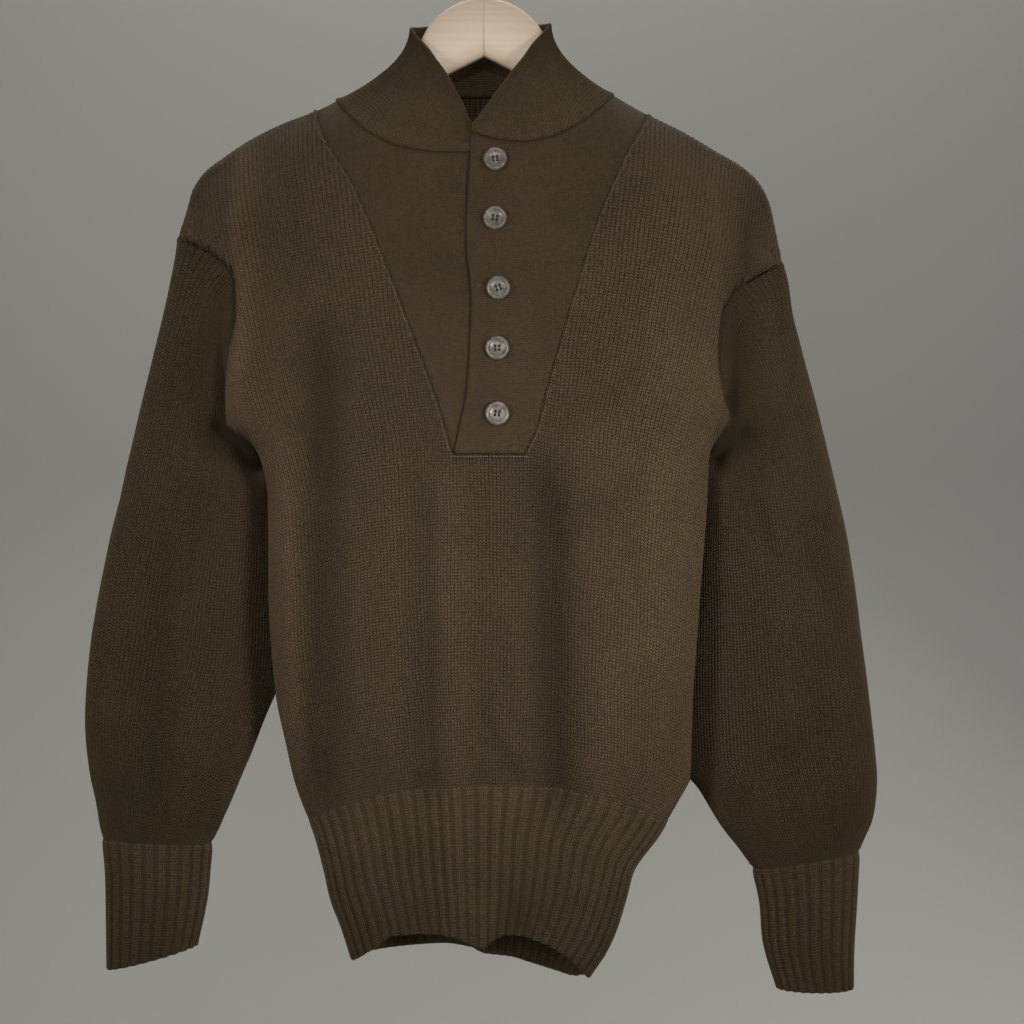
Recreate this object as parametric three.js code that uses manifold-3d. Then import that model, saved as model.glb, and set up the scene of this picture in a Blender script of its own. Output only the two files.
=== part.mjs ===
// A henley sweater hanging on a wooden coat hanger with a wire hook.
// Millimetres. +X is the wearer's left, +Y the back and +Z up.
// The origin is the inner crown of the hook, where it rests on a rail.
import * as THREE from "three";
import { mergeVertices } from "three/addons/utils/BufferGeometryUtils.js";
import Module from "manifold-3d";

const wasm = await Module();
wasm.setup();

const { PI, abs, cos, exp, hypot, max, min, sign, sin, sqrt } = Math;

// Driving sizes
const KNIT = 3; // thickness of the body and sleeve knit
const FINE_KNIT = 2.2; // thickness of the bib and collar knit
const SEAM_GAP = 0.4; // clear width between two sewn pieces
const ARCH_DROP = 70; // how far below the shoulder line the cloth reaches its full depth
const EDGE_SPREAD = [-56, -28, 0, 28, 56]; // heights over which the inner cloth evens out its edge
const SHOULDER_BOW = 12; // how far forward the hanger's ends curve
const SHOULDER_REACH = 240; // half width at which the bow is measured
const ARMHOLE_STEPS = 12; // rows between the shoulder end and the underarm
const BODY_STEPS = 10; // rows between the underarm and the waist ribbing
const PANEL_COLUMNS = 30;
const ROW_LEVELLING = 4; // how soon the rows below the shoulders run level
const WAIST_RIBS = 31; // ribs on each of the front and back waistbands
const CUFF_RIBS = 22;
const RIB_RISE = 1.5; // from furrow to crest
const CUFF_STEPS = 3;
const WAIST_STEPS = 3;
const BIB_STEPS = 12;
const BUTTON_DIAMETER = 18.6;
const PLACKET_LIFT = 2.4; // how far the upper placket lies over the lower one
const PLACKET_INNER_EDGE = 17; // x of the lower placket's hidden edge
const NECK_GAP = 0.7;

// Seam ends on each side: the shoulder tip and the underarm, as x and z
const RIGHT = { side: -1, tip: [-242.4, -266.6], pit: [-204, -419] };
const LEFT = { side: 1, tip: [236.8, -286.6], pit: [196.8, -414.6] };

// Half width of the front view on the wearer's right: armhole seam, then side seam
const RIGHT_EDGE = curve(["z", "x"], [
  [-150, 262], [-215, 251], [-266.6, 242.4], [-284, 212], [-302, 195], [-330, 194],
  [-364, 200], [-395, 203.5], [-419, 204], [-425, 194], [-434, 183], [-450, 176.5],
  [-476, 172.5], [-550, 172], [-596, 169.6], [-635, 165.6], [-671, 158], [-699, 151.7], [-724, 142.8],
  [-743, 135], [-773, 127], [-793, 122.6], [-819, 113], [-841, 106], [-860, 100],
]);
// The same on the wearer's left
const LEFT_EDGE = curve(["z", "x"], [
  [-150, 258], [-215, 247], [-286.6, 236.8], [-302, 214], [-314, 196], [-335, 186],
  [-364, 184], [-395, 189], [-414.6, 196.8], [-424, 189], [-440, 180], [-476, 178.4],
  [-550, 172.8], [-596, 169.6], [-635, 167], [-671, 166], [-699, 164.8], [-708, 160],
  [-724, 151], [-743, 140], [-773, 119], [-793, 113.6], [-819, 105.6], [-836, 98], [-860, 82],
]);
// Shoulder line from tip to tip; between the neck points it only shapes the cloth below
const SHOULDER = curve(["x", "z"], [
  [-242.4, -266.6], [-237, -249], [-231, -229], [-221.6, -215.4], [-206, -203.4],
  [-186, -189.8], [-161, -177], [-135, -166.6], [-117.6, -157.8], [-80, -139],
  [0, -122], [70, -134], [103.2, -153], [129, -168.2], [159, -183.4], [185, -199],
  [205, -211], [218, -223], [227, -240], [232, -262], [236.8, -286.6],
]);
// Depth of the garment on its centre line, in front of and behind the side seams
const DEPTH = curve(["z", "front", "back"], [
  [-120, 46, 42], [-200, 53, 46], [-260, 61, 50], [-340, 69, 54], [-430, 73, 57],
  [-520, 69, 57], [-620, 65, 54], [-708, 61, 50], [-770, 56, 46], [-860, 54, 44],
]);
// Depth of the armhole loop at its middle
const ARMHOLE_DEPTH = { front: 34, back: 30 };

const NECK = { right: -117.6, left: 103.2 };
const NECKLINE_UNDER = curve(["x", "z"], [
  [-117.6, -157.8], [-105.6, -172], [-94.7, -183.2], [-81, -192.3], [-61, -200.3],
  [-31, -204], [30, -204],
]);
const NECKLINE_OVER = curve(["x", "z"], [
  [-30, -186], [-8.6, -189.4], [9, -194], [28.6, -196.4], [48, -193.3], [68, -184.7],
  [88, -169.8], [103.2, -153],
]);
const NECKLINE_BACK = curve(["x", "z"], [
  [-117.6, -157.8], [-80, -151], [0, -148], [70, -149], [103.2, -153],
]);

// The bib's seams with the front, and the free edge of the upper placket
const BIB_TOP = -60;
const BIB_BOTTOM = -440;
const BIB_RIGHT = curve(["z", "x"], [
  [BIB_TOP, -131], [-169, -131], [-234.6, -98.5], [-298, -72.3], [-360, -49],
  [-403, -33.3], [BIB_BOTTOM, -22.5],
]);
const BIB_LEFT = curve(["z", "x"], [
  [BIB_TOP, 128.8], [-166.6, 128.8], [-210, 108.6], [-254, 89.5], [-298, 75.2],
  [-345, 61.2], [-383, 50.3], [-422, 40.2], [BIB_BOTTOM, 31.7],
]);
const PLACKET_EDGE = curve(["z", "x"], [
  [BIB_TOP, -8.6], [-187.8, -8.6], [-242, -11.7], [-274.7, -12.5], [-321, -8.6],
  [-383, -11], [BIB_BOTTOM, -21.5],
]);

// Lower edge of the waistband, front and back, against x where the band is at this level
const HEM_LEVEL = -835;
const HEM_FRONT = curve(["x", "z"], [
  [-106, -841], [-87, -827], [-73, -817], [-41, -814], [-21, -816], [-10, -821],
  [0, -824], [11, -818], [22, -815], [35, -816], [48, -819.5], [64, -826],
  [78, -835], [90, -846], [98, -856],
]);
const HEM_BACK = curve(["x", "z"], [
  [-106, -841], [-78, -838.5], [-35, -837], [-12, -841], [0, -846.5], [26, -848.5],
  [42, -852], [65, -857], [84, -860], [98, -856],
]);

// Soft folds: a straight crest or trough from one point of the front view to another
const FRONT_FOLDS = table(["x0", "z0", "x1", "z1", "width", "rise"], [
  [-124, -345, -127, -705, 17, -8],
  [-186, -230, -190, -385, 10, 4],
  [-157, -470, -146, -690, 11, 4],
  [-71, -452, -67, -700, 13, 3],
  [-46, -480, -45, -705, 10, -4],
  [-24, -465, -21, -820, 13, 7],
  [49, -460, 55, -705, 15, -9],
  [152, -250, 146, -590, 27, 6],
  [52, -520, 122, -455, 8, -3],
  [60, -420, 118, -380, 7, -2.5],
  [-1, -640, 26, -690, 8, -4],
  [96, -610, 86, -705, 17, 4],
  [-2, -790, -1, -850, 10, 5],
  [26, -790, 28, -850, 13, -4],
]);
const BACK_FOLDS = table(["x0", "z0", "x1", "z1", "width", "rise"], [
  [-118, -300, -112, -700, 18, 6],
  [-60, -360, -66, -705, 16, -8],
  [8, -330, 4, -830, 20, 6],
  [70, -380, 64, -705, 16, -8],
  [124, -290, 118, -690, 18, 6],
  [-150, -330, -60, -290, 12, -3],
  [150, -335, 70, -300, 12, -3],
]);

// Sleeve rings from under the armhole to the cuff: the outer and inner edge of the front
// view, how far each edge lies back, and the depth of the tube in front and behind
const RING_COLUMNS = ["outX", "outZ", "inX", "inZ", "outY", "inY", "front", "back"];
const RIGHT_SLEEVE = table(RING_COLUMNS, [
  [-245, -284, -214, -428, 0, 0, 35, 30],
  [-249, -305, -208, -442, 0, 8, 33, 30],
  [-255, -332, -187, -456, 0, 23, 31, 30],
  [-263, -366, -171, -477, -1, 36, 30, 30],
  [-271, -400, -166, -502, -2, 43, 30, 29],
  [-279, -436, -165, -527, -3, 48, 30, 28],
  [-287, -473, -164, -550, -4, 50, 30, 27],
  [-296, -511, -165, -573, -5, 50, 29, 26],
  [-304, -552, -165, -598, -5, 50, 28, 26],
  [-310, -591, -167, -622, -5, 47, 28, 26],
  [-314, -628, -177, -648, -4, 40, 27, 26],
  [-314.4, -660, -187, -676, -3, 32, 27, 26],
  [-311, -692, -198, -703, -2, 24, 26, 26],
  [-306, -716, -210, -731, -1, 17, 26, 25],
  [-302, -744, -217.6, -750, 0, 12, 25, 24],
]);
const LEFT_SLEEVE = table(RING_COLUMNS, [
  [241.6, -304, 199, -423, 0, 4, 32, 30],
  [245.6, -331, 191, -436, 0, 15, 31, 30],
  [252.8, -361, 177, -452, 0, 29, 33, 32],
  [261.6, -393, 169, -474, -1, 38, 34, 32],
  [269.6, -426, 168, -504, -2, 42, 34, 31],
  [278, -466, 165, -536, -3, 47, 33, 30],
  [287, -506, 164, -567, -4, 50, 32, 28],
  [294.4, -554, 163, -600, -5, 51, 29, 26],
  [300, -596, 162, -632, -5, 51, 28, 26],
  [304.8, -633, 162, -664, -5, 50, 28, 26],
  [308.8, -672, 164, -696, -4, 46, 28, 26],
  [310.4, -700, 175, -712, -3, 38, 27, 26],
  [308, -726, 190.4, -737, -2, 28, 27, 26],
  [301.6, -743, 205.6, -756, -1, 18, 26, 25],
  [297.6, -754, 215, -770.6, 0, 13, 25, 24],
]);
const RIGHT_CUFF = table(RING_COLUMNS, [
  [-302, -744, -217.6, -750, 0, 12, 25, 24],
  [-299.6, -769, -219.2, -769, 0, 11, 24, 23],
  [-299, -796, -222, -796, 1, 11, 24, 23],
  [-298.4, -847.6, -229.6, -832, 1, 11, 23, 23],
]);
const LEFT_CUFF = table(RING_COLUMNS, [
  [297.6, -754, 215, -770.6, 0, 13, 25, 24],
  [295.2, -796, 221, -798, 0, 12, 24, 23],
  [293.2, -832, 224, -831, 1, 11, 24, 23],
  [292.8, -863, 234.4, -866, 1, 11, 23, 23],
]);
const SLEEVE_FOLDS = table(["x0", "z0", "x1", "z1", "width", "rise"], [
  [-252, -520, -262, -700, 14, -6],
  [-232, -560, -236, -720, 12, 4],
  [216, -290, 224, -400, 12, 4],
  [236, -430, 232, -640, 16, 4],
  [262, -600, 296, -612, 9, -3],
  [240, -680, 280, -650, 9, -3],
]);

// Buttons: centre in the front view
const BUTTONS = table(["x", "z"], [
  [9.3, -212], [9.3, -258.4], [11.7, -312.8], [11, -359.5], [11, -410],
]);

// Collar stations from the upper front end, round the back, to the lower front end:
// where the seam runs, its x there, and the point of the top edge above it
const COLLAR = table(["edge", "x", "topX", "topY", "topZ"], [
  ["bib_over", -8.6, -8.8, -54.5, -184.3],
  ["bib_over", 10, 2, -51, -170],
  ["bib_over", 32, 12, -45, -156],
  ["bib_over", 60, 25, -34, -136],
  ["bib_over", 84, 41, -21, -114],
  ["bib_over", 103.2, 53, -3, -97],
  ["body_back", 84, 46, 19, -93],
  ["body_back", 46, 25, 32, -91],
  ["body_back", 0, -3, 37, -90],
  ["body_back", -50, -32, 34, -91],
  ["body_back", -94, -52, 20, -95],
  ["bib_under", -117.6, -58.5, -3, -100.8],
  ["bib_under", -96, -47, -18, -116],
  ["bib_under", -66, -32, -33, -137],
  ["bib_under", -36, -19, -43, -162],
  ["bib_under", -12, -9, -47.5, -182],
  ["bib_under", 8, 4, -48.5, -194],
]);
const COLLAR_FLARE = 1.9; // how early the stand turns upright
const COLLAR_STEPS = 4;

// Hanger
const HUMP_TOP = -75;
const HUMP_RADIUS = 54;
const ARM_UNDERSIDE = -121.8;
const ARM_SLOPE = 0.5;
const ARM_REACH = { right: 214, left: 210 };
const ARM_THICKNESS = { neck: 16, tip: 12 };
const HOOK_WIRE = 4.4;
const HOOK_INNER_RADIUS = 22;
const HOOK_FLANGE = { radius: 6, height: 2 };

const COLOURS = {
  knit: 0x3c3022, fineKnit: 0x3e3224, ribbing: 0x3a2f22, collar: 0x3b3023,
  button: 0x6e665c, wood: 0xbda88f, wire: 0xb9bcc0,
};

// A table's rows as objects with named columns
function table(columns, rows) {
  return rows.map((row) => Object.fromEntries(columns.map((name, i) => [name, row[i]])));
}

// A smooth function through a table's rows that never overshoots them.
// With two columns it returns a number, and with more an object.
function curve(columns, rows) {
  const sorted = [...rows].sort((a, b) => a[0] - b[0]);
  const keys = sorted.map((row) => row[0]);
  const last = keys.length - 1;
  const eased = columns.slice(1).map((_, c) => {
    const values = sorted.map((row) => row[c + 1]);
    const secant = (i) => (values[i + 1] - values[i]) / (keys[i + 1] - keys[i]);
    const slopes = keys.map((_, i) => {
      if (i === 0) return secant(0);
      if (i === last) return secant(last - 1);
      const before = secant(i - 1);
      const after = secant(i);
      return before * after <= 0 ? 0 : (2 * before * after) / (before + after);
    });
    return (key) => {
      if (key <= keys[0]) return values[0] + slopes[0] * (key - keys[0]);
      if (key >= keys[last]) return values[last] + slopes[last] * (key - keys[last]);
      const i = keys.findIndex((k) => k > key) - 1;
      const span = keys[i + 1] - keys[i];
      const t = (key - keys[i]) / span;
      return (
        (1 + 2 * t) * (1 - t) ** 2 * values[i] + t * (1 - t) ** 2 * span * slopes[i] +
        t * t * (3 - 2 * t) * values[i + 1] + t * t * (t - 1) * span * slopes[i + 1]
      );
    };
  });
  if (columns.length === 2) return eased[0];
  return (key) => Object.fromEntries(eased.map((f, c) => [columns[c + 1], f(key)]));
}

const lerp = (a, b, t) => a + (b - a) * t;
const clamp = (value, low, high) => min(max(value, low), high);
const smooth = (t) => clamp(t, 0, 1) ** 2 * (3 - 2 * clamp(t, 0, 1));
const point = (x, y, z) => new THREE.Vector3(x, y, z);

// Height of a soft fold at a point of the front view
function foldRise(folds, x, z) {
  let rise = 0;
  for (const fold of folds) {
    const dx = fold.x1 - fold.x0;
    const dz = fold.z1 - fold.z0;
    const along = ((x - fold.x0) * dx + (z - fold.z0) * dz) / (dx * dx + dz * dz);
    const t = clamp(along, 0, 1);
    const away = hypot(x - fold.x0 - t * dx, z - fold.z0 - t * dz) / fold.width;
    rise += fold.rise * exp(-away * away);
  }
  return rise;
}

const edgeOf = (x, z) => (x < 0 ? RIGHT_EDGE(z) : LEFT_EDGE(z));

// Depth of the armhole loop at a height, none above the shoulder tip or below the underarm
function armholeDepth(arm, z, face) {
  const t = clamp((arm.tip[1] - z) / (arm.tip[1] - arm.pit[1]), 0, 1);
  return ARMHOLE_DEPTH[face] * sqrt(4 * t * (1 - t));
}

const inNeck = (x) => x > NECK.right && x < NECK.left;

// Moves the value that lies nearest to a wanted one onto it
function snapTo(values, wanted) {
  const away = values.map((value) => abs(value - wanted));
  values[away.indexOf(min(...away))] = wanted;
}

// Distance of the cloth's outer face in front of, or behind, the side seams
function bodyDepth(x, z, face) {
  const slope = (SHOULDER(x + 1) - SHOULDER(x - 1)) / 2;
  const below = clamp((SHOULDER(x) - z) / sqrt(1 + slope * slope) / ARCH_DROP, 0, 1);
  const arch = sqrt(1 - (1 - below) ** 2);
  const full = abs(x) / edgeOf(x, z);
  const levelled = EDGE_SPREAD.map((by) => edgeOf(x, z + by)).reduce((sum, e) => sum + e / 5, 0);
  const across = clamp(lerp(abs(x) / levelled, full, smooth((full - 0.5) / 0.5)), 0, 1);
  const round = (1 - across ** 2.3) ** 0.5;
  const edge = armholeDepth(x < 0 ? RIGHT : LEFT, z, face);
  const folds = foldRise(face === "front" ? FRONT_FOLDS : BACK_FOLDS, x, z);
  return DEPTH(z)[face] * arch * round + edge * (1 - round) ** 1.5 + folds * round * arch;
}

// A point of the cloth's outer face, raised by a further offset
function bodyPoint(x, z, face, raise = 0) {
  const y = bodyDepth(x, z, face) + raise;
  return point(x, face === "front" ? -y : y, z);
}

// Height of the seam between the body and the waistband
const waistSeam = (share) => -698 - 22 * share ** 2 - 10 * share ** 4;

// A row across a body piece. It starts and ends at the given heights of the side edges,
// and each point between them keeps its share of the half width, as the wales do.
function bodyRow(shares, rightZ, leftZ, face, heightAt) {
  return shares.map((share) => {
    const sideZ = share < 0 ? rightZ : leftZ;
    const x = share * edgeOf(share, sideZ);
    return bodyPoint(x, abs(share) === 1 ? sideZ : heightAt(share, x), face);
  });
}

// One large panel, from the shoulder line to the waist seam
function panelPoints(face) {
  const shares = Array.from({ length: PANEL_COLUMNS + 1 }, (_, i) => {
    const even = (2 * i) / PANEL_COLUMNS - 1;
    return lerp(even, sin((PI / 2) * even), 0.55);
  });
  snapTo(shares, NECK.left / LEFT.tip[0]);
  snapTo(shares, -NECK.right / RIGHT.tip[0]);
  const foot = waistSeam(1);
  const sideHeight = (arm, j) => {
    if (j > ARMHOLE_STEPS) return lerp(arm.pit[1], foot, (j - ARMHOLE_STEPS) / BODY_STEPS);
    return lerp(arm.tip[1], arm.pit[1], (1 - cos((PI * j) / ARMHOLE_STEPS)) / 2);
  };
  const lowered = (arm, z) => (arm.tip[1] - z) / (arm.tip[1] - foot);
  return Array.from({ length: ARMHOLE_STEPS + BODY_STEPS + 1 }, (_, j) => {
    const rightZ = sideHeight(RIGHT, j);
    const leftZ = sideHeight(LEFT, j);
    return bodyRow(shares, rightZ, leftZ, face, (share) => {
      const topX = share * (share < 0 ? -RIGHT.tip[0] : LEFT.tip[0]);
      const topZ = face === "back" && inNeck(topX) ? NECKLINE_BACK(topX) : SHOULDER(topX);
      const mix = smooth((share + 1) / 2);
      const down = lerp(lowered(RIGHT, rightZ), lowered(LEFT, leftZ), mix);
      const aboveTip = (topZ - lerp(RIGHT.tip[1], LEFT.tip[1], mix)) * (1 - down) ** ROW_LEVELLING;
      return lerp(rightZ, leftZ, mix) + aboveTip + (waistSeam(share) - foot) * down;
    });
  });
}

// Unit normals of a grid of points, facing the way that turns rows onto columns
function gridNormals(rows, turn, closed = false) {
  const last = rows.length - 1;
  const columns = rows[0].length;
  return rows.map((row, j) =>
    row.map((_, i) => {
      const next = closed ? (i + 1) % columns : min(i + 1, columns - 1);
      const previous = closed ? (i + columns - 1) % columns : max(i - 1, 0);
      const across = row[next].clone().sub(row[previous]);
      const down = rows[min(j + 1, last)][i].clone().sub(rows[max(j - 1, 0)][i]);
      return across.cross(down).multiplyScalar(turn).normalize();
    }),
  );
}

// A closed wall between a grid's outer points and the points one thickness behind them.
// A rise lifts single outer points and leaves the inside plain.
function wallGeometry({ rows, normals, thickness, closed = false, rise = () => 0 }) {
  const depth = rows.length;
  const width = rows[0].length;
  const size = depth * width;
  const offset = (by) =>
    rows.flatMap((row, j) => row.map((p, i) => p.clone().addScaledVector(normals[j][i], by(i, j))));
  const vertices = [...offset(rise), ...offset(() => -thickness)];
  const at = (j, i) => j * width + (i % width);
  const faces = [];
  // One cell of the wall, split the same way outside and inside
  const cell = (a, b, c, d) => {
    const isSteep = vertices[a].distanceTo(vertices[c]) > vertices[b].distanceTo(vertices[d]);
    const halves = isSteep ? [[a, b, d], [b, c, d]] : [[a, b, c], [a, c, d]];
    for (const [p, q, r] of halves) faces.push(p, q, r, size + r, size + q, size + p);
  };
  // One cell of the rim. Its split depends on height alone, so that two pieces' rims match.
  const rim = (a, b) => {
    if (vertices[a].z < vertices[b].z) faces.push(a, b, size + b, a, size + b, size + a);
    else faces.push(a, b, size + a, b, size + b, size + a);
  };
  const spans = closed ? width : width - 1;
  for (let j = 0; j < depth - 1; j++)
    for (let i = 0; i < spans; i++) cell(at(j, i), at(j, i + 1), at(j + 1, i + 1), at(j + 1, i));
  for (let i = 0; i < spans; i++) {
    rim(at(0, i + 1), at(0, i));
    rim(at(depth - 1, i), at(depth - 1, i + 1));
  }
  if (!closed)
    for (let j = 0; j < depth - 1; j++) {
      rim(at(j, 0), at(j + 1, 0));
      rim(at(j + 1, width - 1), at(j, width - 1));
    }
  return facingOut(indexed(vertices, faces));
}

function indexed(vertices, faces) {
  const geometry = new THREE.BufferGeometry().setFromPoints(vertices);
  geometry.setIndex(faces);
  return geometry;
}

// Turns a closed geometry's faces round if they point inwards
function facingOut(geometry) {
  const at = geometry.getAttribute("position");
  const index = geometry.getIndex().array;
  const [a, b, c] = [point(), point(), point()];
  let volume = 0;
  for (let f = 0; f < index.length; f += 3) {
    a.fromBufferAttribute(at, index[f]);
    b.fromBufferAttribute(at, index[f + 1]);
    c.fromBufferAttribute(at, index[f + 2]);
    volume += a.dot(b.cross(c));
  }
  if (volume < 0) geometry.setIndex([...index].reverse());
  return geometry;
}

function solidOf(geometry) {
  const bare = geometry.clone();
  bare.deleteAttribute("normal");
  bare.deleteAttribute("uv");
  const merged = mergeVertices(bare, 1e-4);
  return new wasm.Manifold(
    new wasm.Mesh({
      numProp: 3,
      vertProperties: new Float32Array(merged.getAttribute("position").array),
      triVerts: new Uint32Array(merged.getIndex().array),
    }),
  );
}

function geometryOf(solid) {
  const mesh = solid.getMesh();
  const geometry = new THREE.BufferGeometry();
  geometry.setAttribute("position", new THREE.BufferAttribute(new Float32Array(mesh.vertProperties), 3));
  geometry.setIndex([...mesh.triVerts]);
  return geometry;
}

// A cutter whose outline is drawn in the front view and which runs right through in depth
function frontCutter(outline) {
  const reach = 200;
  const shape = new THREE.Shape(outline.map(([x, z]) => new THREE.Vector2(x, z)));
  const cutter = new THREE.ExtrudeGeometry(shape, { depth: 2 * reach, bevelEnabled: false });
  cutter.rotateX(PI / 2);
  cutter.translate(0, reach, 0);
  return solidOf(cutter);
}

// The outline between two edges given by height, from the bib's foot to above the collar
function edgedOutline(rightEdge, leftEdge, inset) {
  const heights = [];
  for (let z = BIB_BOTTOM; z < BIB_TOP; z += 20) heights.push(z);
  heights.push(BIB_TOP);
  const foot = (z) => (z === BIB_BOTTOM ? z + inset : z);
  return [
    ...heights.map((z) => [rightEdge(z) + inset, foot(z)]),
    ...heights.reverse().map((z) => [leftEdge(z) - inset, foot(z)]),
  ];
}

// Sets two grids' shared seam: one normal for both, and the first grid drawn back by the gap
function openSeam(edgeA, edgeB) {
  const last = edgeA.length - 1;
  edgeA.forEach((a, k) => {
    const b = edgeB[k];
    if (k === 0) b.normal.setY(0).normalize();
    else if (k === last) b.normal.set(0, 0, -1);
    else b.normal.add(a.normal).normalize();
    a.normal.copy(b.normal);
    const along = edgeB[min(k + 1, last)].at.clone().sub(edgeB[max(k - 1, 0)].at);
    const across = along.cross(b.normal).normalize();
    if (across.dot(b.inward) > 0) across.negate();
    const isTurning = k < 2 || k > last - 4;
    a.at.addScaledVector(across, isTurning ? 1.6 * SEAM_GAP : SEAM_GAP);
  });
}

// Moves a panel's edge half a gap off the middle plane and squares it to that plane
function openAtSide(points, normals, face) {
  points.forEach((p, k) => {
    p.y = ((face === "front" ? -1 : 1) * SEAM_GAP) / 2;
    normals[k].setY(0).normalize();
  });
}

// The same for the part of a top row that lies on the shoulder line
function openAtShoulder(row, normals, face) {
  row.forEach((p, i) => {
    const isTip = i === 0 || i === row.length - 1;
    if (inNeck(p.x) && abs(p.y) > 2) return;
    p.y = ((face === "front" ? -1 : 1) * SEAM_GAP) / 2;
    const slope = (SHOULDER(p.x + 1) - SHOULDER(p.x - 1)) / 2;
    if (!isTip) normals[i].set(-slope, 0, 1).normalize();
  });
}

// Rings of a sleeve or cuff at equal angles: outer edge, front, inner edge, back
function ringPoint(ring, angle) {
  const t = (1 - cos(angle)) / 2;
  const bulge = sin(angle) > 0 ? ring.front : ring.back;
  const x = lerp(ring.outX, ring.inX, t);
  const z = lerp(ring.outZ, ring.inZ, t);
  const fold = sin(angle) > 0 ? foldRise(SLEEVE_FOLDS, x, z) * sin(angle) : 0;
  return point(x, lerp(ring.outY, ring.inY, t) - (bulge + fold) * sin(angle), z);
}

const SLEEVE_SEGMENTS = 2 * ARMHOLE_STEPS;

// The armhole seam, as the first ring of a sleeve
function armholeRing(arm) {
  const edge = arm.side < 0 ? RIGHT_EDGE : LEFT_EDGE;
  return Array.from({ length: SLEEVE_SEGMENTS }, (_, i) => {
    const angle = (2 * PI * i) / SLEEVE_SEGMENTS;
    const z = lerp(arm.tip[1], arm.pit[1], (1 - cos(angle)) / 2);
    return bodyPoint(arm.side * edge(z), z, sin(angle) >= 0 ? "front" : "back");
  });
}

// Sleeve rings, where the armhole's own curve fades out over the first few
function sleevePoints(arm, rings) {
  const armhole = armholeRing(arm);
  const chord = { outX: arm.tip[0], inX: arm.pit[0] };
  const rows = rings.map((ring, k) =>
    armhole.map((seamPoint, i) => {
      const angle = (2 * PI * i) / SLEEVE_SEGMENTS;
      const p = ringPoint(ring, angle);
      const straight = lerp(chord.outX, chord.inX, (1 - cos(angle)) / 2);
      p.x += (seamPoint.x - straight) * 0.62 ** (k + 1);
      return p;
    }),
  );
  return [armhole, ...rows];
}

// A ring of a cuff, resampled to equal steps round it
function evenRing(ring, count) {
  const fine = Array.from({ length: 241 }, (_, i) => ringPoint(ring, (2 * PI * i) / 240));
  return alongPoints(fine, count + 1).slice(0, count);
}

// Points at equal steps along a fine line of points
function alongPoints(fine, count) {
  const lengths = [0];
  for (let i = 1; i < fine.length; i++)
    lengths.push(lengths[i - 1] + fine[i].distanceTo(fine[i - 1]));
  return Array.from({ length: count }, (_, k) => {
    const target = (lengths.at(-1) * k) / (count - 1);
    const i = clamp(lengths.findIndex((l) => l >= target), 1, fine.length - 1);
    const t = (target - lengths[i - 1]) / (lengths[i] - lengths[i - 1] || 1);
    return fine[i - 1].clone().lerp(fine[i], t);
  });
}

// Rows between two tables' rings
function blendRings(rings, steps) {
  return Array.from({ length: steps + 1 }, (_, j) => {
    const at = (j / steps) * (rings.length - 1);
    const k = min(Math.floor(at), rings.length - 2);
    return Object.fromEntries(
      RING_COLUMNS.map((name) => [name, lerp(rings[k][name], rings[k + 1][name], at - k)]),
    );
  });
}

// The slight forward curve that the hanger gives the whole garment
function bowed(geometry) {
  const at = geometry.getAttribute("position");
  for (let i = 0; i < at.count; i++)
    at.setY(i, at.getY(i) - SHOULDER_BOW * (at.getX(i) / SHOULDER_REACH) ** 2);
  return geometry;
}

const part = new THREE.Group();

// The upper edges that the collar is sewn to, kept as each piece is made
const neckEdges = {};

// A place on such an edge, with the cloth's normal there
function onNeckEdge(name, x) {
  const { points, normals } = neckEdges[name];
  const i = clamp(points.findIndex((p) => p.x >= x), 1, points.length - 1);
  const t = (x - points[i - 1].x) / (points[i].x - points[i - 1].x);
  return {
    at: points[i - 1].clone().lerp(points[i], t),
    normal: normals[i - 1].clone().lerp(normals[i], t).normalize(),
  };
}

function addNode(name, geometry, colour, roughness = 0.95, metalness = 0) {
  const material = new THREE.MeshStandardMaterial({ color: colour, roughness, metalness });
  const mesh = new THREE.Mesh(bowed(geometry), material);
  mesh.name = name;
  part.add(mesh);
}

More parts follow.
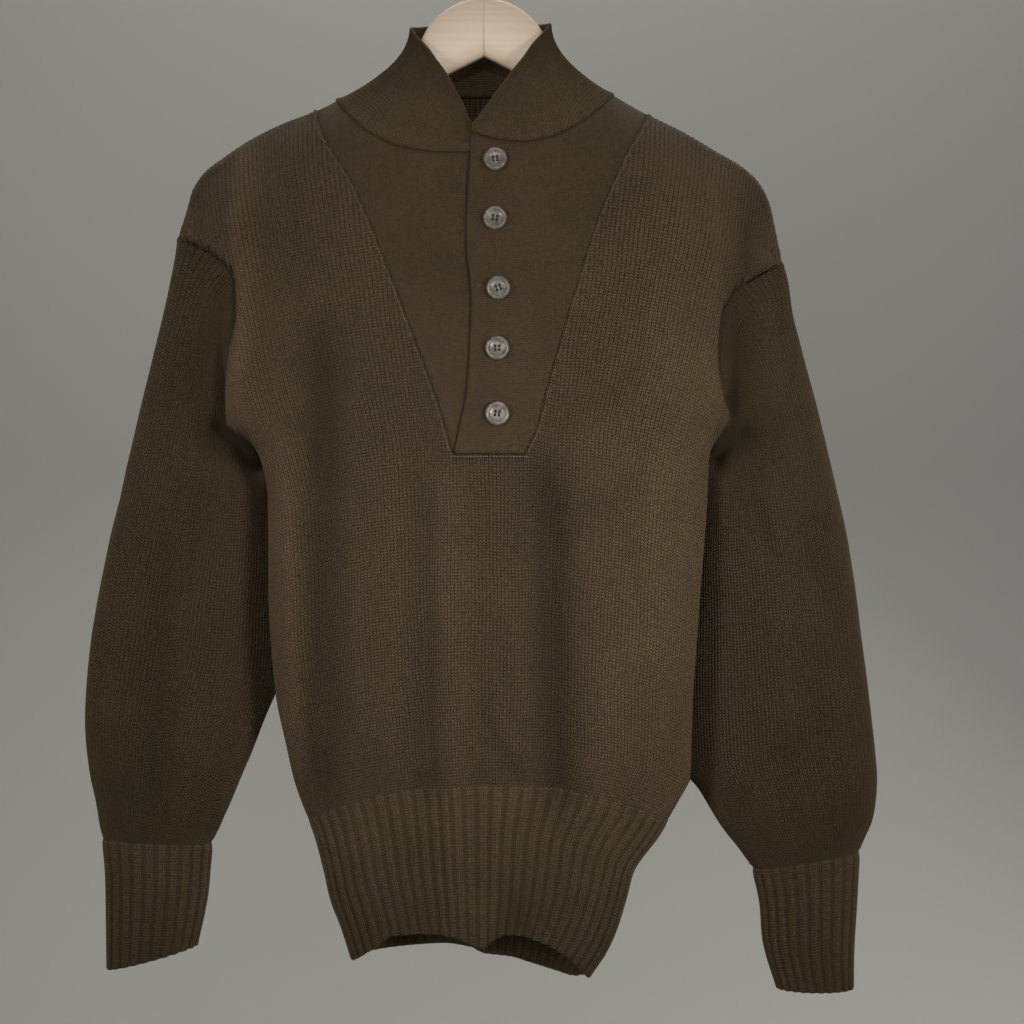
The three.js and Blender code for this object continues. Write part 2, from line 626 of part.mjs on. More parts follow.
// Front, back and sleeves, sewn along shared seams
function addBodyAndSleeves() {
  const front = { rows: panelPoints("front") };
  const back = { rows: panelPoints("back") };
  front.normals = gridNormals(front.rows, -1);
  back.normals = gridNormals(back.rows, 1);
  const sleeves = [
    { arm: RIGHT, rows: sleevePoints(RIGHT, RIGHT_SLEEVE), turn: -1 },
    { arm: LEFT, rows: sleevePoints(LEFT, LEFT_SLEEVE), turn: 1 },
  ];
  for (const sleeve of sleeves) {
    sleeve.normals = gridNormals(sleeve.rows, sleeve.turn, true);
    for (const [panel, faceSign] of [[front, 1], [back, -1]]) {
      const column = sleeve.arm.side < 0 ? 0 : PANEL_COLUMNS;
      const panelEdge = [];
      const sleeveEdge = [];
      for (let j = 0; j <= ARMHOLE_STEPS; j++) {
        const i = (SLEEVE_SEGMENTS + faceSign * j) % SLEEVE_SEGMENTS;
        panelEdge.push({ at: panel.rows[j][column], normal: panel.normals[j][column] });
        sleeveEdge.push({
          at: sleeve.rows[0][i],
          normal: sleeve.normals[0][i],
          inward: sleeve.rows[1][i].clone().sub(sleeve.rows[0][i]),
        });
      }
      openSeam(panelEdge, sleeveEdge);
    }
  }
  for (const [panel, face] of [[front, "front"], [back, "back"]]) {
    openAtShoulder(panel.rows[0], panel.normals[0], face);
    for (const column of [0, PANEL_COLUMNS]) {
      const below = panel.rows.slice(ARMHOLE_STEPS);
      const normals = panel.normals.slice(ARMHOLE_STEPS);
      openAtSide(below.map((row) => row[column]), normals.map((row) => row[column]), face);
    }
    for (const normal of panel.normals.at(-1)) normal.setZ(0).normalize();
    panel.geometry = wallGeometry({ ...panel, thickness: KNIT });
  }
  neckEdges.body_back = { points: back.rows[0], normals: back.normals[0] };
  const bibOutline = edgedOutline(BIB_RIGHT, BIB_LEFT, -SEAM_GAP / 2);
  const cutFront = solidOf(front.geometry).subtract(frontCutter(bibOutline));
  addNode("body_front", geometryOf(cutFront), COLOURS.knit);
  addNode("body_back", back.geometry, COLOURS.knit);
  for (const sleeve of sleeves) {
    levelLastRing(sleeve);
    const name = sleeve.arm.side < 0 ? "sleeve_right" : "sleeve_left";
    addNode(name, wallGeometry({ ...sleeve, thickness: KNIT, closed: true }), COLOURS.knit);
  }
}

// Squares a tube's end to its own plane, so that the next tube can meet it flat
function levelLastRing({ rows, normals }) {
  flattenNormals(rows.at(-1), normals.at(-1));
}

function flattenNormals(ring, normals) {
  const quarter = ring.length / 4;
  const across = ring[2 * quarter].clone().sub(ring[0]);
  const axis = across.cross(ring[3 * quarter].clone().sub(ring[quarter])).normalize();
  for (const normal of normals) normal.addScaledVector(axis, -normal.dot(axis)).normalize();
}

const crest = (i) => (i % 2 === 0 ? RIB_RISE / 2 : -RIB_RISE / 2);

function addCuffs() {
  for (const [name, rings, turn] of [
    ["cuff_right", RIGHT_CUFF, -1],
    ["cuff_left", LEFT_CUFF, 1],
  ]) {
    const rows = blendRings(rings, CUFF_STEPS).map((ring) => evenRing(ring, 2 * CUFF_RIBS));
    const normals = gridNormals(rows, turn, true);
    flattenNormals(rows[0], normals[0]);
    const down = rows[1][0].clone().sub(rows[0][0]).normalize();
    for (const p of rows[0]) p.addScaledVector(down, SEAM_GAP);
    const rise = (i, j) => (j === 0 ? -RIB_RISE / 4 : crest(i));
    const geometry = wallGeometry({ rows, normals, thickness: KNIT, closed: true, rise });
    addNode(name, geometry, COLOURS.ribbing);
  }
}

function addWaistbands() {
  const MIDDLE = -775;
  const foot = waistSeam(1);
  for (const [name, face, hem, turn] of [
    ["waistband_front", "front", HEM_FRONT, -1],
    ["waistband_back", "back", HEM_BACK, 1],
  ]) {
    const fine = Array.from({ length: 321 }, (_, i) => {
      const share = -cos((PI * i) / 320);
      return bodyPoint(share * edgeOf(share, MIDDLE), MIDDLE, face);
    });
    const evenly = alongPoints(fine, 2 * WAIST_RIBS + 1);
    const last = evenly.length - 1;
    const shares = evenly.map((p, i) => (i % last ? p.x / edgeOf(p.x, MIDDLE) : i / last * 2 - 1));
    const hemAt = (share) => hem(share * edgeOf(share, HEM_LEVEL));
    const rows = Array.from({ length: WAIST_STEPS + 1 }, (_, j) => {
      const t = j / WAIST_STEPS;
      const top = (share) => waistSeam(share) - SEAM_GAP;
      const height = (share) => lerp(top(share), hemAt(share), t);
      return bodyRow(shares, height(-1), height(1), face, height);
    });
    const normals = gridNormals(rows, turn);
    for (const column of [0, last])
      openAtSide(rows.map((row) => row[column]), normals.map((row) => row[column]), face);
    for (const normal of normals[0]) normal.setZ(0).normalize();
    const rise = (i, j) => (i % last === 0 ? 0 : j === 0 ? -RIB_RISE / 4 : crest(i + 1));
    addNode(name, wallGeometry({ rows, normals, thickness: KNIT, rise }), COLOURS.ribbing);
  }
}

const placketLift = (x) => PLACKET_LIFT * (1 - smooth((x - 20) / 22));

// One side of the bib, cut to the seams from a slightly larger sheet
function addBibPart(name, { fromX, toX, columns, neckline, lift, rightEdge, leftEdge }) {
  const xs = Array.from({ length: columns + 1 }, (_, i) => lerp(fromX, toX, i / columns));
  snapTo(xs, fromX < NECK.right ? NECK.right : NECK.left);
  const rows = Array.from({ length: BIB_STEPS + 1 }, (_, j) =>
    xs.map((x) => {
      const top = inNeck(x) ? neckline(x) : SHOULDER(x);
      const z = lerp(top, BIB_BOTTOM - 12, (j / BIB_STEPS) ** 1.6);
      return bodyPoint(x, z, "front", lift(x));
    }),
  );
  const normals = gridNormals(rows, -1);
  openAtShoulder(rows[0], normals[0], "front");
  neckEdges[name] = { points: rows[0], normals: normals[0] };
  const sheet = solidOf(wallGeometry({ rows, normals, thickness: FINE_KNIT }));
  const outline = edgedOutline(rightEdge, leftEdge, SEAM_GAP / 2);
  addNode(name, geometryOf(sheet.intersect(frontCutter(outline))), COLOURS.fineKnit);
}

function addBib() {
  addBibPart("bib_under", {
    fromX: -137.6, toX: PLACKET_INNER_EDGE + 5, columns: 12, neckline: NECKLINE_UNDER,
    lift: () => -0.3, rightEdge: BIB_RIGHT, leftEdge: () => PLACKET_INNER_EDGE,
  });
  addBibPart("bib_over", {
    fromX: -26, toX: 134.2, columns: 14, neckline: NECKLINE_OVER,
    lift: placketLift, rightEdge: PLACKET_EDGE, leftEdge: BIB_LEFT,
  });
}

// The collar's seam as columns of points, each with its share of the way round the table
function collarSeam() {
  const isBack = (k) => COLLAR[k].edge === "body_back";
  const seam = [];
  for (let k = 0; k < COLLAR.length - 1; k++) {
    const [from, to] = [COLLAR[k], COLLAR[k + 1]];
    const edge = isBack(k) || isBack(k + 1) ? "body_back" : from.edge;
    const t = (x) => (x - from.x) / (to.x - from.x);
    const between = neckEdges[edge].points.map((p) => p.x).filter((x) => t(x) > 0.1 && t(x) < 0.9);
    const xs = [from.x, ...between.sort((p, q) => t(p) - t(q))];
    if (k === COLLAR.length - 2) xs.push(to.x);
    for (const x of xs) seam.push({ ...onNeckEdge(edge, x), share: (k + t(x)) / (COLLAR.length - 1) });
  }
  return seam;
}

// A standing collar whose top edge falls from the sides to the front
function addCollar() {
  const seam = collarSeam();
  const last = seam.length - 1;
  const top = new THREE.CatmullRomCurve3(COLLAR.map((s) => point(s.topX, s.topY, s.topZ)));
  const up = seam.map(({ normal }, i) => {
    const along = seam[min(i + 1, last)].at.clone().sub(seam[max(i - 1, 0)].at);
    const away = along.cross(normal).normalize();
    const towardsCrown = top.getPoint(seam[i].share).sub(seam[i].at);
    return away.dot(towardsCrown) < 0 ? away.negate() : away;
  });
  const rows = Array.from({ length: COLLAR_STEPS + 1 }, (_, j) =>
    seam.map(({ at, share }, i) => {
      const base = at.clone().addScaledVector(up[i], NECK_GAP);
      const crown = top.getPoint(share);
      const rise = j / COLLAR_STEPS;
      const inward = 1 - (1 - rise) ** COLLAR_FLARE;
      const { x, y } = base.clone().lerp(crown, inward);
      return point(x, y, lerp(base.z, crown.z, rise));
    }),
  );
  const normals = gridNormals(rows, 1);
  if (normals[2][0].y > 0) normals.flat().forEach((normal) => normal.negate());
  normals[0].forEach((normal, i) => normal.copy(seam[i].normal));
  addNode("collar", wallGeometry({ rows, normals, thickness: FINE_KNIT }), COLOURS.collar);
}

// A four-hole button with a raised rim
function buttonGeometry() {
  const radius = BUTTON_DIAMETER / 2;
  const profile = [
    [0, 0], [radius - 1.2, 0], [radius, 1.6], [radius - 0.7, 3.4], [radius - 2.4, 4.1],
    [radius - 4, 2.9], [0, 2.9],
  ].map(([r, h]) => new THREE.Vector2(r, h));
  let solid = solidOf(new THREE.LatheGeometry(profile, 16));
  for (let k = 0; k < 4; k++) {
    const hole = new THREE.CylinderGeometry(1, 1, 8, 6);
    const angle = PI / 4 + (PI / 2) * k;
    hole.translate(2.1 * cos(angle), 2, 2.1 * sin(angle));
    solid = solid.subtract(solidOf(hole));
  }
  return geometryOf(solid);
}

function addButtons() {
  BUTTONS.forEach(({ x, z }, k) => {
    const seat = bodyPoint(x, z, "front", placketLift(x));
    const rightward = bodyPoint(x + 6, z, "front", placketLift(x + 6)).sub(seat);
    const upward = bodyPoint(x, z + 6, "front", placketLift(x)).sub(seat);
    const normal = rightward.cross(upward).normalize();
    const geometry = buttonGeometry();
    geometry.applyQuaternion(
      new THREE.Quaternion().setFromUnitVectors(new THREE.Vector3(0, 1, 0), normal),
    );
    const seatAt = seat.addScaledVector(normal, SEAM_GAP + 0.2);
    geometry.translate(seatAt.x, seatAt.y, seatAt.z);
    addNode(`button_${k + 1}`, geometry, COLOURS.button, 0.35);
  });
}

// One half of the hanger: rounded sections from the middle joint to the tip
function addHangerArm(name, side, reach) {
  const middle = 0.15;
  const stations = [
    middle, 12, 24, 35, 43, 49, 53, 55, 64, 82, 104, 130, 158, 184, reach - 8, reach - 1, reach,
  ];
  const corners = 12;
  const rows = stations.map((x) => {
    const besideNeck = 2.5 * exp(-(((x - 108) / 30) ** 2));
    const clear = KNIT * 1.2 + SEAM_GAP + besideNeck + 0.8 + 4 * smooth((x - 150) / 60);
    const underCloth = SHOULDER(side * x) - clear;
    const hump = HUMP_TOP - HUMP_RADIUS + sqrt(max(HUMP_RADIUS ** 2 - x ** 2, 0));
    const top = x < HUMP_RADIUS ? max(hump, -135) : underCloth;
    const bottom = ARM_UNDERSIDE - ARM_SLOPE * x;
    const taper = x > reach - 5 ? 0.62 : 1;
    const halfHeight = ((top - bottom) / 2) * taper;
    const halfDepth = (lerp(ARM_THICKNESS.neck, ARM_THICKNESS.tip, x / reach) / 2) * taper;
    return Array.from({ length: corners }, (_, i) => {
      const angle = (2 * PI * i) / corners;
      const squared = (value) => sign(value) * abs(value) ** 0.62;
      const y = halfDepth * squared(cos(angle));
      return point(side * x, y, (top + bottom) / 2 + halfHeight * squared(sin(angle)));
    });
  });
  const vertices = rows.flat();
  const faces = [];
  for (let j = 0; j < rows.length - 1; j++)
    for (let i = 0; i < corners; i++) {
      const next = (i + 1) % corners;
      const [a, b] = [j * corners + i, j * corners + next];
      const [c, d] = [(j + 1) * corners + next, (j + 1) * corners + i];
      faces.push(a, b, c, a, c, d);
    }
  const end = (rows.length - 1) * corners;
  for (let i = 1; i < corners - 1; i++) faces.push(0, i + 1, i, end, end + i, end + i + 1);
  addNode(name, facingOut(indexed(vertices, faces)), COLOURS.wood, 0.4);
}

// Wire hook: a stem from the hanger's hump, then an open ring that the rail sits in
function addHook() {
  const radius = HOOK_INNER_RADIUS + HOOK_WIRE / 2;
  const centre = -HOOK_INNER_RADIUS;
  const foot = HUMP_TOP + SEAM_GAP;
  const route = [point(0, 0, foot + 1), point(0, 0, foot + 7), point(3, 0, centre - radius - 9)];
  for (let degrees = -58; degrees <= 196; degrees += 14) {
    const angle = (degrees * PI) / 180;
    route.push(point(radius * cos(angle), 0, centre + radius * sin(angle)));
  }
  const section = new THREE.Shape();
  section.absarc(0, 0, HOOK_WIRE / 2, 0, 2 * PI, false);
  const wire = new THREE.ExtrudeGeometry(section, {
    steps: 30, curveSegments: 4, extrudePath: new THREE.CatmullRomCurve3(route),
  });
  const flange = new THREE.CylinderGeometry(
    HOOK_FLANGE.radius, HOOK_FLANGE.radius, HOOK_FLANGE.height, 12,
  );
  flange.rotateX(PI / 2);
  flange.translate(0, 0, foot + HOOK_FLANGE.height / 2);
  const hook = solidOf(wire).add(solidOf(flange));
  addNode("hanger_hook", geometryOf(hook), COLOURS.wire, 0.25, 1);
}

addBodyAndSleeves();
addCuffs();
addWaistbands();
addBib();
addCollar();
addButtons();
addHangerArm("hanger_arm_right", -1, ARM_REACH.right);
addHangerArm("hanger_arm_left", 1, ARM_REACH.left);
addHook();

export default part;
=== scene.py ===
from math import cos, pi, radians, sin, sqrt

import bmesh
import bpy
import numpy as np
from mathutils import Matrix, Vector


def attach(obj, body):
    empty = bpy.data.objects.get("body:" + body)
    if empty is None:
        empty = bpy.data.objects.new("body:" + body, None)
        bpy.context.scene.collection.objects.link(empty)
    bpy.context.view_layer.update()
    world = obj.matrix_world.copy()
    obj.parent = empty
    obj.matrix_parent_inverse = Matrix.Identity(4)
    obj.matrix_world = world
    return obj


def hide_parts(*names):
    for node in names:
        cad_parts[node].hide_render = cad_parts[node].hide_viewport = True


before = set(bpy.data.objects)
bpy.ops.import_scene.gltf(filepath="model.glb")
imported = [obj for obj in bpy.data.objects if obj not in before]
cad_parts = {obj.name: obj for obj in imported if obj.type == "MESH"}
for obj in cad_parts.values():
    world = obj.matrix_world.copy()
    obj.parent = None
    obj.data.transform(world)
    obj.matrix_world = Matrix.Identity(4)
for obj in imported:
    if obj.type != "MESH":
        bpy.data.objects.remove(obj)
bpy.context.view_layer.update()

# Millimetres throughout, turned to metres when a mesh is made.
# +X is the wearer's left, +Y the back, +Z up, and the origin is the hook's inner crown.
MM = 0.001

# Knit
BODY_WALES = 146  # columns of stitches across the front, and as many across the back
SLEEVE_WALES = 112
SAMPLES_PER_WALE = 4
WALE_RELIEF = 0.62
COURSE = 2.35  # height of one row of body stitches
FINE_WALE = 1.9
FINE_COURSE = 1.75
RIB_COURSE = 2.2
COLLAR_COURSE = 2.0
WALES_A_RIB = 3
KNIT = 3.0  # thickness of the coarse knit
FINE_KNIT = 2.2
RIM_COURSES = 0.5  # rows of stitches that each half of a rounded rim takes up
RIM_REACH = 0.32  # how far a rim bulges, as a share of the wall's thickness
SEAM_REACH = 1.3
SEAM_SHADOW = 1.6  # how far the painted shadow beside a seam reaches
SMALLEST_CELL = 1e-4
WELD_DISTANCE = 1e-6
TINY = 1e-9
FAR = 99.0  # a distance past every seam's reach

# Garment form, as in the solids
ARCH_DROP = 70  # how far below the shoulder line the cloth reaches its full depth
ROW_LEVELLING = 4
EDGE_SPREAD = (-56, -28, 0, 28, 56)
SHOULDER_BOW = 12
SHOULDER_REACH = 240
SHOULDER_FAN = 13
FAN_DEPTH = 190  # how far below the shoulder the wales still fan out
FOLD_SHADE = 0.032  # painted shade: how much the wool's colour is darkened in a fold's trough for each millimetre of its depth, and lightened on a crest
MIDDLE_SHADE = 0.27  # painted shade: how much the wool's colour is darkened down the middle of the front
HEM_SHADE = 0.2  # and painted shade: how much darker at the hem than where the waistband begins
ARMHOLE_ROWS = 38
BODY_ROWS = 52
SLEEVE_ROWS = 96
WAISTBAND_ROWS = 36
CUFF_ROWS = 30
COLLAR_ROWS = 24
BIB_ROWS = 84
PANEL_MIDDLE, WAISTBAND_MIDDLE = -560, -775  # where the wales lie at equal steps
WAIST_RIBS = 31
CUFF_RIBS = 22
RIB_SAMPLES = 10
RIB_RISE = 2.1
COLLAR_RIB = 2.6
COLLAR_SAMPLES = 4
PLACKET_LIFT = 2.4
PLACKET_INNER_EDGE = 17
PLACKET_FADE = 36  # the placket's lift is gone this far past its inner edge
BIB_SINK = 0.6  # how far the bib's cloth lies below the solids' surface
UNDER_BIB_LIFT = -0.3
BUTTON_DIAMETER = 18.6
STITCH_STEP = 2.5
STITCH_SIZE = (2.5, 1.0, 1.1)
STITCH_SLANT = 0.45
STITCH_ASIDE = 3.0  # from the seam to its row of stitches
STITCH_LIFT = 0.9
STITCHES_START = -172

RIGHT_TIP, RIGHT_PIT = (-242.4, -266.6), (-204, -419)
LEFT_TIP, LEFT_PIT = (236.8, -286.6), (196.8, -414.6)
SIGN = {"right": -1, "left": 1}
OUTWARD = {"front": 1, "back": -1}  # which way a panel's grid normals have to be turned


def curve(rows):
    """A smooth line through a table's rows that never overshoots them."""
    table = np.array(sorted(rows), float)
    keys, values = table[:, 0], table[:, 1:]
    secant = np.diff(values, axis=0) / np.diff(keys)[:, None]
    before, after = secant[:-1], secant[1:]
    agree = before * after > 0
    slopes = np.vstack([secant[:1], np.zeros_like(before), secant[-1:]])
    slopes[1:-1] = np.where(agree, 2 * before * after / np.where(agree, before + after, 1), 0)

    def at(key):
        key = np.asarray(key, float)
        inside = np.clip(key, keys[0], keys[-1])
        i = np.clip(np.searchsorted(keys, inside, side="right") - 1, 0, len(keys) - 2)
        span = (keys[i + 1] - keys[i])[..., None]
        t = (inside - keys[i])[..., None] / span
        value = (
            (1 + 2 * t) * (1 - t) ** 2 * values[i] + t * (1 - t) ** 2 * span * slopes[i]
            + t * t * (3 - 2 * t) * values[i + 1] + t * t * (t - 1) * span * slopes[i + 1]
        )
        end = np.where((key < keys[0])[..., None], slopes[0], slopes[-1])
        value = value + (key - inside)[..., None] * end
        return value[..., 0] if values.shape[1] == 1 else value

    return at


# Half width of the front view on each side: armhole seam, then side seam (z, x)
RIGHT_EDGE = curve([
    (-150, 262), (-215, 251), (-266.6, 242.4), (-284, 212), (-302, 195), (-330, 194),
    (-364, 200), (-395, 203.5), (-419, 204), (-425, 194), (-434, 183), (-450, 176.5),
    (-476, 172.5), (-550, 172), (-596, 169.6), (-635, 165.6), (-671, 158), (-699, 151.7),
    (-724, 142.8), (-743, 135), (-773, 127), (-793, 122.6), (-819, 113), (-841, 106),
    (-860, 100),
])
LEFT_EDGE = curve([
    (-150, 258), (-215, 247), (-286.6, 236.8), (-302, 214), (-314, 196), (-335, 186),
    (-364, 184), (-395, 189), (-414.6, 196.8), (-424, 189), (-440, 180), (-476, 178.4),
    (-550, 172.8), (-596, 169.6), (-635, 167), (-671, 166), (-699, 164.8), (-708, 160),
    (-724, 151), (-743, 140), (-773, 119), (-793, 113.6), (-819, 105.6), (-836, 98),
    (-860, 82),
])
# Half width that the wales follow, past the armholes and the side seams' upper ends
RIGHT_WALES = curve([
    (-266.6, 242.4), (-340, 224), (-419, 204.2), (-450, 189), (-500, 176), (-550, 172),
    (-596, 169.6), (-635, 165.6), (-671, 158), (-699, 151.7), (-730, 140),
])
LEFT_WALES = curve([
    (-286.6, 236.8), (-340, 221), (-414.6, 198), (-450, 186), (-500, 178), (-550, 172.8),
    (-596, 169.6), (-635, 167), (-671, 166), (-699, 164.8), (-708, 160), (-730, 148),
])
# Shoulder line (x, z)
SHOULDER = curve([
    (-242.4, -266.6), (-237, -249), (-231, -229), (-221.6, -215.4), (-206, -203.4),
    (-186, -189.8), (-161, -177), (-135, -166.6), (-117.6, -157.8), (-80, -139),
    (0, -122), (70, -134), (103.2, -153), (129, -168.2), (159, -183.4), (185, -199),
    (205, -211), (218, -223), (227, -240), (232, -262), (236.8, -286.6),
])
# Depth on the centre line in front of and behind the side seams (z, front, back)
DEPTH = curve([
    (-120, 46, 42), (-200, 53, 46), (-260, 61, 50), (-340, 69, 54), (-430, 73, 57),
    (-520, 69, 57), (-620, 65, 54), (-708, 61, 50), (-770, 56, 46), (-860, 54, 44),
])
ARMHOLE_DEPTH = {"front": 34, "back": 30}
ARMHOLE_EASE = 34  # how far above the shoulder tip the cloth begins to stand forward

NECK_RIGHT, NECK_LEFT = -117.6, 103.2
NECKLINE_UNDER = curve([
    (-117.6, -157.8), (-105.6, -172), (-94.7, -183.2), (-81, -192.3), (-61, -200.3),
    (-31, -204), (30, -204),
])
NECKLINE_OVER = curve([
    (-30, -186), (-8.6, -189.4), (9, -194), (28.6, -196.4), (48, -193.3), (68, -184.7),
    (88, -169.8), (103.2, -153),
])
NECKLINE_BACK = curve([
    (-117.6, -157.8), (-80, -151), (0, -148), (70, -149), (103.2, -153),
])

# Bib seams and the upper placket's free edge (z, x)
BIB_BOTTOM = -440
BIB_RIGHT = curve([
    (-60, -131), (-169, -131), (-234.6, -98.5), (-298, -72.3), (-360, -49),
    (-403, -33.3), (BIB_BOTTOM, -22.5),
])
BIB_LEFT = curve([
    (-60, 128.8), (-166.6, 128.8), (-210, 108.6), (-254, 89.5), (-298, 75.2),
    (-345, 61.2), (-383, 50.3), (-422, 40.2), (BIB_BOTTOM, 31.7),
])
PLACKET_EDGE = curve([
    (-60, -8.6), (-187.8, -8.6), (-242, -11.7), (-274.7, -12.5), (-321, -8.6),
    (-383, -11), (BIB_BOTTOM, -21.5),
])

# Lower edge of the waistband (x at the level -835, z)
HEM_LEVEL = -835
HEM = {
    "front": curve([
        (-106, -841), (-87, -827), (-73, -817), (-41, -814), (-21, -816), (-10, -821),
        (0, -824), (11, -818), (22, -815), (35, -816), (48, -819.5), (64, -826),
        (78, -835), (90, -846), (98, -856),
    ]),
    "back": curve([
        (-106, -841), (-78, -838.5), (-35, -837), (-12, -841), (0, -846.5), (26, -848.5),
        (42, -852), (65, -857), (84, -860), (98, -856),
    ]),
}

# Soft folds: a crest or trough from (x0, z0) to (x1, z1), with its width and rise
FOLDS = {
    "front": [
        (-124, -345, -127, -705, 17, -8),
        (-186, -230, -190, -385, 10, 4),
        (-157, -470, -146, -690, 11, 4),
        (-71, -452, -67, -700, 13, 3),
        (-46, -480, -45, -705, 10, -4),
        (-24, -465, -21, -820, 13, 7),
        (49, -460, 55, -705, 15, -9),
        (152, -250, 146, -590, 27, 6),
        (52, -520, 122, -455, 8, -3),
        (60, -420, 118, -380, 7, -2.5),
        (-1, -640, 26, -690, 8, -4),
        (96, -610, 86, -705, 17, 4),
        (-2, -790, -1, -850, 10, 5),
        (26, -790, 28, -850, 13, -4),
    ],
    "back": [
        (-118, -300, -112, -700, 18, 6),
        (-60, -360, -66, -705, 16, -8),
        (8, -330, 4, -830, 20, 6),
        (70, -380, 64, -705, 16, -8),
        (124, -290, 118, -690, 18, 6),
        (-150, -330, -60, -290, 12, -3),
        (150, -335, 70, -300, 12, -3),
    ],
}
# Finer creases of the same kind
CREASES = {
    "front": [
        (-190, -205, -196, -398, 8, 7),
        (178, -235, 180, -395, 8, 5),
        (-220, -220, -207, -300, 14, -6),
        (222, -235, 194, -322, 13, -9),
        (-122, -380, -126, -690, 18, -5),
        (-32, -480, -28, -700, 12, 4),
        (56, -480, 60, -700, 18, -6),
        (142, -330, 140, -590, 20, 3),
        (-160, -440, -152, -680, 9, 3),
        (-150, -420, -110, -462, 7, -1.6),
        (-178, -400, -140, -430, 6, 1.5),
        (160, -405, 120, -440, 7, -1.6),
        (8, -642, 22, -668, 4, 2.2),
        (-8, -655, 14, -678, 4, -2),
        (20, -560, 32, -640, 6, 1.6),
        (-100, -520, -96, -640, 7, 1.2),
        (118, -520, 128, -660, 8, -1.6),
        (84, -600, 104, -560, 6, -1.2),
        (-205, -250, -196, -300, 5, -1.8),
        (-214, -238, -208, -286, 4, 1.6),
        (205, -256, 196, -330, 6, -1.8),
        (214, -262, 206, -330, 4, 1.4),
        (30, -470, 24, -520, 6, -1.4),
        (-140, -640, -128, -700, 7, -1.6),
        (140, -640, 128, -710, 8, 1.6),
    ],
    "back": [
        (-40, -300, -30, -420, 7, 1.6),
        (44, -310, 36, -430, 7, 1.6),
        (-100, -540, -96, -660, 7, -1.5),
        (98, -520, 104, -650, 7, -1.5),
        (-176, -390, -130, -350, 7, -1.8),
        (176, -390, 130, -352, 7, -1.8),
        (-20, -600, 10, -680, 6, -1.6),
    ],
}

# Sleeve rings: outer edge, inner edge, how far each lies back, depth in front and behind
RIGHT_SLEEVE = [
    (-245, -284, -197, -427, 0, 10, 35, 26),
    (-249, -305, -184, -440, 0, 22, 33, 27),
    (-255, -332, -177, -456, 0, 30, 31, 28),
    (-263, -366, -171, -477, -1, 36, 30, 30),
    (-271, -400, -166, -502, -2, 43, 30, 29),
    (-279, -436, -165, -527, -3, 48, 30, 28),
    (-287, -473, -164, -550, -4, 50, 30, 27),
    (-296, -511, -165, -573, -5, 50, 29, 26),
    (-304, -552, -165, -598, -5, 50, 28, 26),
    (-310, -591, -167, -622, -5, 47, 28, 26),
    (-314, -628, -177, -648, -4, 40, 27, 26),
    (-314.4, -660, -187, -676, -3, 32, 27, 26),
    (-311, -692, -198, -703, -2, 24, 26, 26),
    (-306, -716, -210, -731, -1, 17, 26, 25),
    (-302, -744, -217.6, -750, 0, 12, 25, 24),
]
LEFT_SLEEVE = [
    (241.6, -304, 191, -424, 0, 10, 32, 26),
    (245.6, -331, 182, -437, 0, 22, 31, 27),
    (252.8, -361, 175, -452, 0, 31, 33, 30),
    (261.6, -393, 169, -474, -1, 38, 34, 32),
    (269.6, -426, 168, -504, -2, 42, 34, 31),
    (278, -466, 165, -536, -3, 47, 33, 30),
    (287, -506, 164, -567, -4, 50, 32, 28),
    (294.4, -554, 163, -600, -5, 51, 29, 26),
    (300, -596, 162, -632, -5, 51, 28, 26),
    (304.8, -633, 162, -664, -5, 50, 28, 26),
    (308.8, -672, 164, -696, -4, 46, 28, 26),
    (310.4, -700, 175, -712, -3, 38, 27, 26),
    (308, -726, 190.4, -737, -2, 28, 27, 26),
    (301.6, -743, 205.6, -756, -1, 18, 26, 25),
    (297.6, -754, 215, -770.6, 0, 13, 25, 24),
]
RIGHT_CUFF = [
    RIGHT_SLEEVE[-1],
    (-299.6, -769, -219.2, -769, 0, 11, 24, 23),
    (-299, -796, -222, -796, 1, 11, 24, 23),
    (-298.4, -847.6, -229.6, -832, 1, 11, 23, 23),
]
LEFT_CUFF = [
    LEFT_SLEEVE[-1],
    (295.2, -796, 221, -798, 0, 12, 24, 23),
    (293.2, -832, 224, -831, 1, 11, 24, 23),
    (292.8, -863, 234.4, -866, 1, 11, 23, 23),
]
SLEEVE_FOLDS = [
    (-202, -312, -200, -400, 9, -4),
    (194, -318, 198, -398, 10, -8),
    (-252, -520, -262, -700, 14, -6),
    (-232, -560, -236, -720, 12, 4),
    (216, -290, 224, -400, 12, 4),
    (236, -430, 232, -640, 16, 4),
    (262, -600, 296, -612, 9, -3),
    (240, -680, 280, -650, 9, -3),
    (-284, -560, -292, -690, 8, 2),
    (-222, -470, -240, -560, 7, -2),
    (-296, -700, -262, -722, 6, -2),
    (276, -600, 284, -690, 8, 2),
    (212, -480, 236, -540, 7, -2),
    (290, -716, 256, -738, 6, -2),
]

# Hollows under the arms, where the cloth falls back behind the body
UNDERARM = [
    (-212, -423, -184, -448, 13, 26),
    (204, -424, 188, -442, 10, 18),
]

# Collar stations: the edge that it is sewn to, x on that edge, and the top edge's point
COLLAR = [
    ("over", -8.6, -8.8, -54.5, -184.3),
    ("over", 10, 2, -51, -170),
    ("over", 32, 12, -45, -156),
    ("over", 60, 25, -34, -136),
    ("over", 84, 41, -21, -114),
    ("over", 103.2, 53, -3, -97),
    ("back", 84, 46, 19, -93),
    ("back", 46, 25, 32, -91),
    ("back", 0, -3, 37, -90),
    ("back", -50, -32, 34, -91),
    ("back", -94, -52, 20, -95),
    ("under", -117.6, -58.5, -3, -100.8),
    ("under", -96, -47, -18, -116),
    ("under", -66, -32, -33, -137),
    ("under", -36, -19, -43, -162),
    ("under", -12, -9, -47.5, -182),
    ("under", 8, 4, -48.5, -194),
]
COLLAR_FLARE = 1.9

